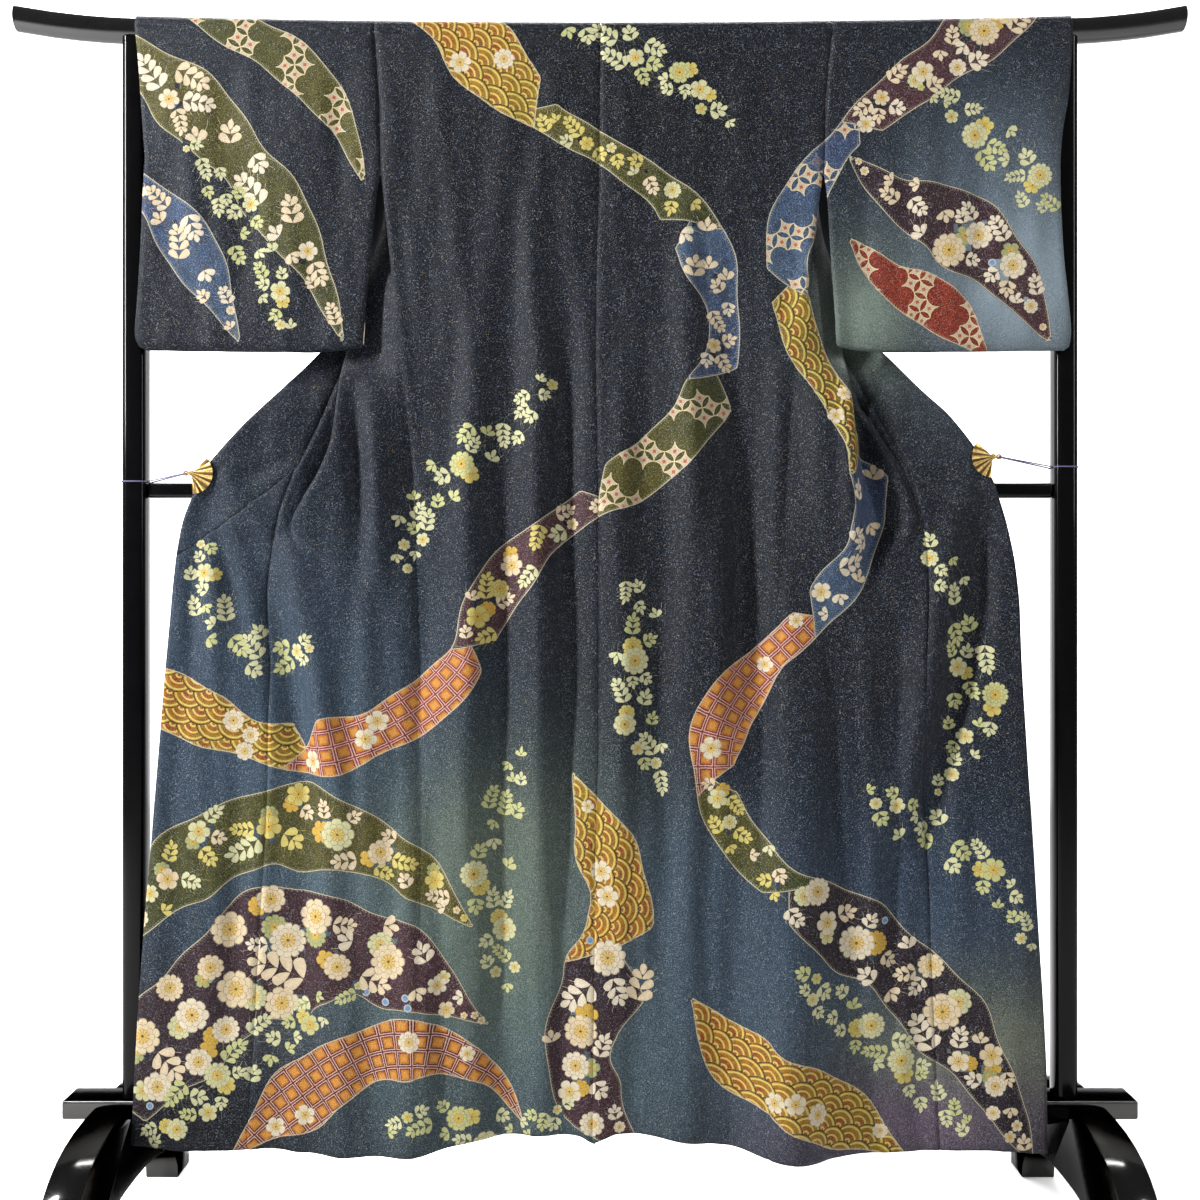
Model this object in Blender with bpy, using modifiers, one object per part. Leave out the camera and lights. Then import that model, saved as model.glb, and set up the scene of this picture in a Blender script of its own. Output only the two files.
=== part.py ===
"""Silk kimono spread open on a black lacquered stand, seen from the garment's back.

Metres, +Z up, the floor at z = 0, -Y towards a viewer of the kimono's back, origin on the
floor under the middle of the stand. Each cloth piece is a thin wall on a surface of sections.
"""
import math

import bmesh
import bpy
import numpy as np

GAP = 0.0003             # between pieces that touch
SEAM_GAP = 0.0004        # between the middles of two cloth edges at a seam
WALL = 0.0016            # cloth with its lining

ROD_RADIUS = 0.019
ROD_STEPS = (0.0, 0.17, 0.34, 0.51, 0.62, 0.68, 0.72, 0.76, 0.80, 0.854)
ROD_CENTRE_Z = 1.752
ROD_BOW = 0.02           # rise per square metre from the middle
ROD_UPTURN = 0.44        # the same, more, past the posts
ROD_UPTURN_X = 0.68
CLOTH_RADIUS = 0.0205    # middle of the cloth over the rod

POST_X = 0.679
POST_WIDE = 0.034
POST_DEEP = 0.038
POST_CORNER = 0.009
POST_TOP = 1.748
RAIL_Z = 1.088
RAIL_HIGH = 0.022
RAIL_DEEP = 0.021
BEAM_END_X = 0.778
BEAM_BOTTOM = 0.177
BEAM_TOP = 0.204
BEAM_DEEP = 0.060

FOOT_INNER_X = 0.678
FOOT_OUTER_X = 0.730
FOOT_HALF_LONG = 0.270
FOOT_HIGH = 0.195
FOOT_POWER = 3.0
ARCH_HALF_LONG = 0.205
ARCH_HIGH = 0.082
ARCH_POWER = 2.4

FAN_RADIUS = 0.030
FAN_RIBS = 10
FAN_RIDGE = 0.0008
LEAF = 0.0014
LEAF_CLEAR = 0.0014      # from the cloth to each leaf
CLIP_MIDDLE_Y = -0.0375  # middle of the cloth inside the clip
CLIP_PIVOT = {"left": (0.5866, 1.1103), "right": (0.5646, 1.1340)}
FAN_START = {"left": -88.0, "right": -84.0}
FAN_END = {"left": 45.0, "right": 43.0}
BARREL_RADIUS = 0.0042
LUG_OUT = 0.0095         # from the pivot to the thread's hole
LUG_RADIUS = 0.0042
HOLE_RADIUS = 0.0018
THREAD_RADIUS = 0.0007

# Heights of the rows of the body and the overlap panels, as if the hem were level.
LEVELS = (
    0.135, 0.20, 0.27, 0.34, 0.41, 0.48, 0.55, 0.62, 0.69, 0.76, 0.83, 0.89, 0.945, 0.99,
    1.03, 1.07, 1.11, 1.15, 1.19, 1.225, 1.255, 1.285, 1.32, 1.355, 1.39, 1.43, 1.47,
    1.51, 1.555, 1.60, 1.65, 1.70, 1.752,
)
LEVEL_HEM = 0.135
SIDE_SEAM_TOP = 24       # row where the side seam ends and the side opening starts
BACK_COLUMNS = 15
NECK_COLUMN = 4          # columns inside this one end at the neckline
ARC_STEPS = 8            # over the rod
OKUMI_ROW = 16           # row where the collar takes over from the overlap panel
ARMHOLE_ROW = 28         # row where the sleeve's seam to the body ends

# Seams, each at a height: centre back, then for either side the side seam, the seam that
# joins the front to the overlap panel, and the outer edge. Outward is positive.
SEAM_Z = (1.763, 1.66, 1.55, 1.42, 1.335, 1.29, 1.227, 1.15, 1.085, 1.035, 0.985, 0.93,
          0.83, 0.70, 0.595, 0.48, 0.35, 0.25, 0.12)
CENTRE = (0.001, 0.0, -0.001, -0.005, -0.006, -0.006, -0.005, -0.004, -0.003, -0.003,
          -0.003, -0.003, -0.003, -0.003, -0.007, -0.008, -0.0085, -0.010, -0.0115)
SIDE_SEAM = {
    "left": (0.3284, 0.320, 0.317, 0.303, 0.294, 0.290, 0.2835, 0.275, 0.270, 0.2685,
             0.267, 0.265, 0.260, 0.2585, 0.2580, 0.2575, 0.257, 0.257, 0.2575),
    "right": (0.3380, 0.327, 0.3235, 0.304, 0.293, 0.287, 0.2765, 0.270, 0.2665, 0.264,
              0.262, 0.259, 0.2560, 0.2490, 0.2440, 0.2420, 0.240, 0.238, 0.2350),
}
FRONT_SEAM = {
    "left": (0.0, 0.0, 0.0, 0.0, 0.0, 0.0, 0.392, 0.424, 0.4525, 0.467, 0.476, 0.4835,
             0.4765, 0.477, 0.479, 0.487, 0.494, 0.500, 0.508),
    "right": (0.0, 0.0, 0.0, 0.0, 0.0, 0.0, 0.388, 0.425, 0.459, 0.4645, 0.472, 0.4700,
              0.4655, 0.468, 0.470, 0.475, 0.479, 0.483, 0.489),
}
OUTER_EDGE = {
    "left": (0.0, 0.0, 0.0, 0.0, 0.0, 0.0, 0.0, 0.542, 0.585, 0.602, 0.610, 0.615,
             0.623, 0.633, 0.641, 0.652, 0.662, 0.668, 0.674),
    "right": (0.0, 0.0, 0.0, 0.0, 0.0, 0.0, 0.0, 0.540, 0.573, 0.587, 0.597, 0.603,
              0.606, 0.613, 0.620, 0.627, 0.636, 0.640, 0.641),
}
# Height of the hem along the width (signed, the left of a viewer is negative).
HEM_X = (-0.674, -0.60, -0.47, -0.36, -0.262, -0.18, -0.10, -0.030, -0.0085, 0.014, 0.06,
         0.14, 0.24, 0.31, 0.45, 0.56, 0.641)
HEM_Z = (0.146, 0.140, 0.139, 0.134, 0.140, 0.155, 0.163, 0.163, 0.150, 0.163, 0.163,
         0.152, 0.142, 0.136, 0.136, 0.142, 0.134)
# Depth of the hanging cloth, then its folds: a row gives where a fold runs (x at three
# heights, signed), how far it comes forward at top and bottom, and its half width.
BASE_Z = (1.76, 1.70, 1.545, 1.40, 1.25, 1.10, 0.80, 0.40, 0.10)
BASE_Y = (-0.0205, -0.0235, -0.027, -0.030, -0.0345, -0.0375, -0.042, -0.0445, -0.0455)
FOLDS = (
    # x, z at top   x, z in the middle  x, z at the bottom  forward: top, bottom   width
    (-0.262, 0.95, -0.262, 0.50, -0.268, 0.12, 0.000, 0.036, 0.050),
    (-0.400, 0.95, -0.385, 0.50, -0.365, 0.12, 0.004, 0.018, 0.036),
    (-0.446, 0.80, -0.452, 0.50, -0.474, 0.12, -0.004, -0.009, 0.020),
    (-0.560, 0.88, -0.560, 0.50, -0.580, 0.12, 0.004, 0.010, 0.045),
    (-0.175, 1.25, -0.180, 0.70, -0.185, 0.12, 0.002, 0.010, 0.028),
    (-0.150, 1.10, -0.128, 0.60, -0.140, 0.12, -0.003, -0.008, 0.022),
    (-0.080, 1.25, -0.084, 0.70, -0.085, 0.12, 0.002, 0.011, 0.022),
    (-0.0075, 0.55, -0.0085, 0.30, -0.0115, 0.12, 0.000, 0.012, 0.034),
    (0.110, 1.25, 0.112, 0.70, 0.120, 0.12, 0.003, 0.016, 0.032),
    (0.200, 1.20, 0.215, 0.70, 0.190, 0.12, -0.004, -0.010, 0.026),
    (0.275, 0.95, 0.275, 0.50, 0.268, 0.12, 0.004, 0.062, 0.062),
    (0.536, 0.99, 0.470, 0.60, 0.460, 0.12, -0.010, -0.008, 0.022),
    (0.580, 0.88, 0.560, 0.50, 0.560, 0.12, 0.000, 0.012, 0.050),
)
FOLD_FADE = 0.12         # height over which a fold starts

# Sections of the front panels, from the side seam round the tuck to the inner seam, as
# outward and depth for each named column; the collar's free edge is the last pair.
SECTION_COLUMNS = (0, 2, 4, 5, 7, 8, 11)
SECTIONS = {
    "left": (
        # z     side             middle           ridge           tuck
        #       valley           behind           seam            collar edge
        (1.752, 0.3284, 0.0205, 0.285, 0.0205, 0.235, 0.0205, 0.205, 0.0205,
         0.170, 0.0205, 0.130, 0.0205, 0.0876, 0.0205, 0.060, 0.0230),
        (1.70, 0.3240, 0.0235, 0.290, 0.0260, 0.250, 0.030, 0.222, 0.032,
         0.190, 0.033, 0.150, 0.032, 0.111, 0.030, 0.084, 0.030),
        (1.62, 0.3185, 0.0245, 0.305, 0.0340, 0.284, 0.044, 0.262, 0.050,
         0.232, 0.052, 0.200, 0.050, 0.172, 0.048, 0.137, 0.046),
        (1.545, 0.3170, 0.0250, 0.323, 0.0390, 0.318, 0.054, 0.300, 0.062,
         0.276, 0.062, 0.252, 0.058, 0.232, 0.056, 0.200, 0.062),
        (1.47, 0.3085, 0.0040, 0.326, 0.0180, 0.340, 0.034, 0.330, 0.045,
         0.302, 0.046, 0.281, 0.047, 0.270, 0.056, 0.260, 0.080),
        (1.40, 0.3010, -0.0180, 0.324, -0.0070, 0.347, 0.007, 0.338, 0.020,
         0.310, 0.026, 0.291, 0.032, 0.298, 0.046, 0.321, 0.063),
        (1.34, 0.2945, -0.0318, 0.322, -0.0140, 0.357, -0.001, 0.350, 0.010,
         0.325, 0.016, 0.316, 0.026, 0.338, 0.033, 0.371, 0.033),
        (1.283, 0.2893, -0.0336, 0.322, -0.0160, 0.372, -0.006, 0.364, 0.003,
         0.343, 0.008, 0.347, 0.016, 0.3715, 0.013, 0.420, 0.006),
        (1.25, 0.2860, -0.0345, 0.326, -0.0300, 0.3752, -0.030, 0.366, -0.008,
         0.352, 0.001, 0.362, 0.003, 0.384, -0.003, 0.449, -0.006),
        (1.17, 0.2770, -0.0364, 0.325, -0.0460, 0.382, -0.054, 0.376, -0.022,
         0.381, -0.011, 0.395, -0.016, 0.414, -0.022, 0.523, -0.0375),
        (1.10, 0.2710, -0.0375, 0.335, -0.0500, 0.406, -0.057, 0.404, -0.030,
         0.409, -0.021, 0.425, -0.027, 0.448, -0.034, 0.580, -0.0375),
        (1.05, 0.2690, -0.0383, 0.345, -0.0490, 0.433, -0.053, 0.434, -0.040,
         0.439, -0.031, 0.449, -0.034, 0.4640, -0.037, 0.597, -0.038),
        (1.00, 0.2670, -0.0390, 0.350, -0.0470, 0.440, -0.047, 0.448, -0.042,
         0.455, -0.038, 0.463, -0.039, 0.4740, -0.039, 0.610, -0.039),
    ),
    "right": (
        (1.752, 0.3370, 0.0205, 0.285, 0.0205, 0.235, 0.0205, 0.205, 0.0205,
         0.170, 0.0205, 0.130, 0.0205, 0.0899, 0.0205, 0.060, 0.0230),
        (1.70, 0.3300, 0.0235, 0.290, 0.0260, 0.250, 0.030, 0.222, 0.032,
         0.190, 0.033, 0.150, 0.032, 0.111, 0.030, 0.084, 0.030),
        (1.62, 0.3260, 0.0245, 0.305, 0.0340, 0.284, 0.044, 0.262, 0.050,
         0.232, 0.052, 0.200, 0.050, 0.172, 0.048, 0.137, 0.046),
        (1.545, 0.3230, 0.0250, 0.325, 0.0390, 0.320, 0.054, 0.300, 0.062,
         0.276, 0.062, 0.252, 0.058, 0.232, 0.056, 0.200, 0.062),
        (1.47, 0.3100, 0.0040, 0.326, 0.0180, 0.338, 0.034, 0.328, 0.045,
         0.302, 0.046, 0.281, 0.047, 0.270, 0.056, 0.260, 0.080),
        (1.40, 0.3010, -0.0180, 0.322, -0.0070, 0.341, 0.007, 0.333, 0.020,
         0.308, 0.026, 0.291, 0.032, 0.298, 0.046, 0.321, 0.063),
        (1.34, 0.2935, -0.0318, 0.318, -0.0140, 0.346, -0.001, 0.340, 0.010,
         0.320, 0.016, 0.313, 0.026, 0.336, 0.033, 0.372, 0.033),
        (1.283, 0.2855, -0.0336, 0.318, -0.0160, 0.3545, -0.006, 0.348, 0.003,
         0.333, 0.008, 0.336, 0.016, 0.3600, 0.013, 0.424, 0.006),
        (1.25, 0.2805, -0.0345, 0.320, -0.0300, 0.358, -0.032, 0.353, -0.010,
         0.349, -0.004, 0.360, 0.002, 0.3760, -0.004, 0.453, -0.006),
        (1.17, 0.2715, -0.0364, 0.318, -0.0460, 0.3625, -0.054, 0.374, -0.020,
         0.393, -0.034, 0.4035, -0.021, 0.4160, -0.025, 0.523, -0.0375),
        (1.10, 0.2675, -0.0375, 0.316, -0.0500, 0.364, -0.057, 0.392, -0.021,
         0.427, -0.040, 0.4425, -0.031, 0.4525, -0.034, 0.566, -0.0375),
        (1.05, 0.2650, -0.0383, 0.317, -0.0490, 0.3715, -0.056, 0.403, -0.024,
         0.446, -0.044, 0.4550, -0.036, 0.4620, -0.038, 0.583, -0.038),
        (1.00, 0.2625, -0.0390, 0.319, -0.0470, 0.3775, -0.054, 0.405, -0.028,
         0.443, -0.045, 0.4600, -0.041, 0.4700, -0.040, 0.595, -0.039),
    ),
}
SECTION_END = 0.95       # under this the front hangs like the rest of the cloth
SECTION_BLEND = 1.03     # and from here it goes over to that

# The collar: its lower end, and the rows round the neck.
ERISAKI_Z = 0.990        # where the outer edge of the overlap panel ends
NECK_ROWS = (
    # x      seam height  edge x  edge height  edge depth
    (0.000, 1.7515, 0.000, 1.694, 0.0245),
    (0.045, 1.7515, 0.040, 1.694, 0.0245),
    (0.0860, 1.7515, 0.066, 1.695, 0.0255),
)
NECK_TURN = (
    # row of the body  edge x  edge height  edge depth
    (31, 0.092, 1.672, 0.0310),
    (30, 0.118, 1.640, 0.0410),
)
COLLAR_TAPER = 5         # rows of the pointed end
COLLAR_POINT = 0.90      # share of the slanting seam that the pointed end covers
COLLAR_COLUMNS = 3

# Sleeves: outline at heights, outward positive.
SLEEVE_Z = (1.776, 1.70, 1.65, 1.60, 1.56, 1.517, 1.43, 1.355, 1.315, 1.302, 1.294, 1.288)
SLEEVE_INNER = {
    "left": (0.3290, 0.3245, 0.3197, 0.3185, 0.3180, 0.3235, 0.331, 0.338, 0.341, 0.342,
             0.342, 0.342),
    "right": (0.3386, 0.3313, 0.3267, 0.3255, 0.3245, 0.3285, 0.333, 0.338, 0.341, 0.342,
              0.343, 0.343),
}
SLEEVE_OUTER = {
    "left": (0.6770, 0.669, 0.664, 0.6585, 0.654, 0.657, 0.661, 0.666, 0.669, 0.667,
             0.662, 0.652),
    "right": (0.6870, 0.683, 0.678, 0.669, 0.6655, 0.664, 0.667, 0.674, 0.677, 0.676,
              0.674, 0.668),
}
SLEEVE_FRONT_OUTER = {
    "left": (0.6770, 0.668, 0.6560, 0.6530, 0.6525, 0.655, 0.660, 0.665, 0.668, 0.666,
             0.661, 0.651),
    "right": (0.6870, 0.672, 0.6560, 0.6530, 0.6555, 0.660, 0.666, 0.673, 0.676, 0.675,
              0.673, 0.667),
}
SLEEVE_BACK_Y = (-0.0205, -0.0235, -0.0250, -0.0268, -0.0280, -0.0290, -0.0310, -0.0325,
                 -0.0330, -0.0330, -0.0330, -0.0330)
SLEEVE_FRONT_Y_INNER = (0.0205, 0.0235, 0.0245, 0.0250, 0.0250, 0.0200, -0.0030, -0.0180,
                        -0.0230, -0.0235, -0.0240, -0.0240)
SLEEVE_FRONT_Y_OUTER = (0.0205, 0.0235, 0.0240, 0.0040, -0.0215, -0.0222, -0.0225,
                        -0.0230, -0.0235, -0.0238, -0.0240, -0.0240)
SLEEVE_BOTTOM_U = (0.0, 0.16, 0.6, 1.0)
SLEEVE_BOTTOM_Z = (1.294, 1.286, 1.287, 1.289)
SLEEVE_LEVELS = (1.294, 1.303, 1.318, 1.345, 1.38, 1.42, 1.465, 1.51)
CUFF_LEVEL = 8           # the row after these, where the cuff opening and armhole begin
SLEEVE_COLUMNS = 9
EDGE_ROUND = 0.003       # how far a folded edge stands out past its two layers

SIGN = {"left": -1, "right": 1}


def clear_scene():
    for thing in list(bpy.data.objects):
        bpy.data.objects.remove(thing, do_unlink=True)


def collection(name, cutters=False):
    made = bpy.data.collections.new(name)
    made.hide_render = cutters
    bpy.context.scene.collection.children.link(made)
    return made


def material(name, colour, roughness, metallic=0.0, sheen=0.0):
    made = bpy.data.materials.new(name)
    made.use_nodes = True
    shader = made.node_tree.nodes["Principled BSDF"]
    shader.inputs["Base Color"].default_value = (*colour, 1.0)
    shader.inputs["Roughness"].default_value = roughness
    shader.inputs["Metallic"].default_value = metallic
    shader.inputs["Sheen Weight"].default_value = sheen
    made.diffuse_color = (*colour, 1.0)
    return made


def mesh_object(name, points, faces, look):
    data = bpy.data.meshes.new(name)
    data.from_pydata([tuple(p) for p in points], [], faces)
    data.validate()
    made = bpy.data.objects.new(name, data)
    made.data.materials.append(look)
    PARTS.objects.link(made)
    return made


def face_outward(made):
    """Turns every face of a closed mesh outward."""
    work = bmesh.new()
    work.from_mesh(made.data)
    bmesh.ops.recalc_face_normals(work, faces=work.faces)
    work.to_mesh(made.data)
    work.free()


def cloth_wall(made):
    wall = made.modifiers.new("wall", "SOLIDIFY")
    wall.thickness = WALL
    wall.offset = 0.0
    wall.use_even_offset = True
    wall.use_quality_normals = True
    wall.thickness_clamp = 1.0


def along(z, heights, values):
    """The value at each z of a smooth curve through a table with falling heights."""
    x = np.asarray(heights, float)[::-1]
    v = np.asarray(values, float)[::-1]
    steps = np.diff(x)
    rise = np.diff(v) / steps
    slope = np.empty(len(x))
    slope[0] = rise[0]
    slope[-1] = rise[-1]
    same = rise[:-1] * rise[1:] > 0
    mean = 2 * rise[:-1] * rise[1:] / np.where(same, rise[:-1] + rise[1:], 1.0)
    slope[1:-1] = np.where(same, mean, 0.0)
    z = np.clip(np.asarray(z, float), x[0], x[-1])
    i = np.clip(np.searchsorted(x, z) - 1, 0, len(steps) - 1)
    t = (z - x[i]) / steps[i]
    low = v[i] + steps[i] * t * (1 - t) * (slope[i] * (1 - t) - slope[i + 1] * t)
    return low + (v[i + 1] - v[i]) * t * t * (3 - 2 * t)


def smooth(t):
    t = np.clip(t, 0.0, 1.0)
    return t * t * (3 - 2 * t)


def rod_height(x):
    out = np.maximum(np.abs(x) - ROD_UPTURN_X, 0.0)
    return ROD_CENTRE_Z + ROD_BOW * x * x + ROD_UPTURN * out * out


def sheet_depth(x, z):
    """Depth of the hanging cloth at signed x: the base depth less each fold's forward push."""
    y = along(z, BASE_Z, BASE_Y)
    for xa, za, xb, zb, xc, zc, top, bottom, width in FOLDS:
        middle = np.interp(z, (zc, zb, za), (xc, xb, xa))
        down = np.clip((za - z) / (za - zc), 0.0, 1.0)
        push = (top + (bottom - top) * down) * smooth((za + FOLD_FADE - z) / FOLD_FADE)
        y = y - push * np.exp(-(((x - middle) / width) ** 2))
    return y


def level_heights(x, levels):
    """Height of each row over the hem at signed x."""
    hem = np.interp(x, HEM_X, HEM_Z)
    share = (np.asarray(levels) - LEVEL_HEM) / (LEVELS[-1] - LEVEL_HEM)
    return hem + (rod_height(x) - hem) * share


def section(side, z):
    """Outward and depth of the eight named columns of a front panel at height z."""
    table = np.array(SECTIONS[side])
    return np.array([along(z, table[:, 0], table[:, c]) for c in range(1, 17)])


def seam_x(table, z):
    return np.interp(z, SEAM_Z[::-1], table[::-1])


def front_point(side, k, z):
    """Point k of a front panel's row, from the side seam (0) to the inner seam."""
    share = k / SECTION_COLUMNS[-1]
    start = seam_x(SIDE_SEAM[side], z)
    end = seam_x(FRONT_SEAM[side], z)
    plain_x = start + (end - start) * share
    plain_y = float(sheet_depth(SIGN[side] * plain_x, z))
    if z <= SECTION_END:
        return plain_x, plain_y
    named = section(side, z)
    x = float(np.interp(k, SECTION_COLUMNS, named[0:14:2]))
    y = float(np.interp(k, SECTION_COLUMNS, named[1:14:2]))
    full = float(smooth((z - SECTION_END) / (SECTION_BLEND - SECTION_END)))
    return plain_x + (x - plain_x) * full, plain_y + (y - plain_y) * full


def body(side, look):
    """One body length: the back, the arc over the rod and the front, joined at the side."""
    sign = SIGN[side]
    points = []
    index = {}

    def put(key, x, y, z):
        index[key] = len(points)
        points.append((x, y, z))

    rows = len(LEVELS)
    across = BACK_COLUMNS - NECK_COLUMN
    for j in range(BACK_COLUMNS + 1):
        share = j / BACK_COLUMNS
        for i in range(rows):
            z = LEVELS[i]
            for _ in range(2):
                middle = seam_x(CENTRE, z) + sign * SEAM_GAP / 2
                x = middle + share * (sign * seam_x(SIDE_SEAM[side], z) - middle)
                z = float(level_heights(x, LEVELS)[i])
            y = float(sheet_depth(x, z))
            if i == rows - 1:
                y = -CLOTH_RADIUS
            put(("back", i, j), x, y, z)
        x = points[-1][0]
        for a in range(1, ARC_STEPS + 1):
            turn = math.pi * a / ARC_STEPS
            put(("arc", a, j), x, -CLOTH_RADIUS * math.cos(turn),
                float(rod_height(x)) + CLOTH_RADIUS * math.sin(turn))
    for k in range(across + 1):
        j = BACK_COLUMNS - k
        index[("front", rows - 1, k)] = index[("arc", ARC_STEPS, j)]
        for i in range(rows - 1):
            if k == 0 and i <= SIDE_SEAM_TOP:
                index[("front", i, k)] = index[("back", i, BACK_COLUMNS)]
                continue
            z = LEVELS[i]
            for _ in range(2):
                x, y = front_point(side, k, z)
                z = float(level_heights(sign * x, LEVELS)[i])
            put(("front", i, k), sign * x, y, z)

    faces = []

    def strip(part, count, first, last):
        for i in range(count):
            for j in range(first, last):
                corners = [(part, i, j), (part, i, j + 1), (part, i + 1, j + 1),
                           (part, i + 1, j)]
                ring = [index[key] for key in corners]
                faces.append(ring if sign > 0 else ring[::-1])

    for j in range(BACK_COLUMNS + 1):
        index[("arc", 0, j)] = index[("back", rows - 1, j)]
    strip("back", rows - 1, 0, BACK_COLUMNS)
    strip("arc", ARC_STEPS, 0, BACK_COLUMNS)
    strip("front", rows - 1, 0, across)
    made = mesh_object(f"body_{side}", points, faces, look)
    cloth_wall(made)


def grid_object(name, grid, look, turned):
    """A cloth piece from a grid of points given as rows x columns x 3."""
    rows, columns = grid.shape[:2]
    faces = []
    for i in range(rows - 1):
        for j in range(columns - 1):
            a = i * columns + j
            ring = [a, a + 1, a + columns + 1, a + columns]
            faces.append(ring[::-1] if turned else ring)
    made = mesh_object(name, grid.reshape(-1, 3), faces, look)
    cloth_wall(made)
    return made


def seam_point(side, row):
    """A point of the front panel's inner seam, on the same row as the body's."""
    z = LEVELS[row]
    for _ in range(2):
        x, y = front_point(side, SECTION_COLUMNS[-1], z)
        z = float(level_heights(SIGN[side] * x, LEVELS)[row])
    return np.array((x, y, z))


def okumi(side, look):
    """The overlap panel, from the hem to the slanting seam of the collar."""
    sign = SIGN[side]
    columns = 5
    seam = [seam_point(side, row) for row in range(OKUMI_ROW + 1)]
    low = seam[0][2]
    top = seam[-1][2]
    grid = np.zeros((len(seam), columns + 1, 3))
    for i, (seam_out, seam_y, seam_z) in enumerate(seam):
        for j in range(columns + 1):
            share = j / columns
            hem_x = seam[0][0] + (seam_x(OUTER_EDGE[side], 0.12) - seam[0][0]) * share
            hem = float(np.interp(sign * hem_x, HEM_X, HEM_Z))
            upper = top + (ERISAKI_Z - top) * share
            z = hem + (upper - hem) * (seam_z - low) / (top - low)
            edge = float(seam_x(OUTER_EDGE[side], z))
            out = seam_out + SEAM_GAP + (edge - seam_out - SEAM_GAP) * share
            y = float(sheet_depth(sign * out, z))
            grid[i, j] = (sign * out, y + (seam_y - y) * (1 - share) ** 2, z)
    grid_object(f"okumi_{side}", grid, look, side == "left")
    return grid


def collar_half(side, okumi_top):
    """Seam and edge points of half of the collar, from the middle of the neck to its end."""
    sign = SIGN[side]
    pairs = [((sign * seam, CLOTH_RADIUS, seam_z), (sign * edge, edge_y, edge_z))
             for seam, seam_z, edge, edge_z, edge_y in NECK_ROWS]
    edges = [np.array((x, y, z)) for _, x, z, y in NECK_TURN]
    rows = [row for row, *_ in NECK_TURN]
    for row in range(rows[-1] - 1, OKUMI_ROW - 1, -1):
        z = seam_point(side, row)[2]
        named = section(side, z)
        rows.append(row)
        edges.append(np.array((float(named[14]), float(named[15]), z)))
    for row, edge in zip(rows, edges):
        seam = seam_point(side, row)
        away = edge - seam
        seam = seam + away / np.linalg.norm(away) * SEAM_GAP * 1.8
        pairs.append(((sign * seam[0], seam[1], seam[2]), (sign * edge[0], edge[1], edge[2])))
    start_z = pairs[-1][1][2]
    for n in range(1, COLLAR_TAPER + 1):
        share = COLLAR_POINT * n / COLLAR_TAPER
        place = share * (len(okumi_top) - 1)
        line = [float(np.interp(place, range(len(okumi_top)), okumi_top[:, c]))
                for c in range(3)]
        line[2] += SEAM_GAP * 3
        edge_z = start_z + (ERISAKI_Z + 0.003 - start_z) * n / COLLAR_TAPER
        edge = float(seam_x(OUTER_EDGE[side], edge_z))
        edge_y = float(sheet_depth(sign * edge, edge_z))
        hold = smooth((edge_z - 1.02) / 0.06)
        edge_y += (CLIP_MIDDLE_Y - edge_y) * float(hold)
        pairs.append((tuple(line), (sign * edge, edge_y, edge_z)))
    return pairs


def collar(look, okumi_tops):
    left = collar_half("left", okumi_tops["left"])
    right = collar_half("right", okumi_tops["right"])
    pairs = np.array(left[:0:-1] + right)
    share = np.linspace(0.0, 1.0, COLLAR_COLUMNS + 1)[None, :, None]
    grid = pairs[:, None, 0] * (1 - share) + pairs[:, None, 1] * share
    grid_object("collar", grid, look, False)


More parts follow.
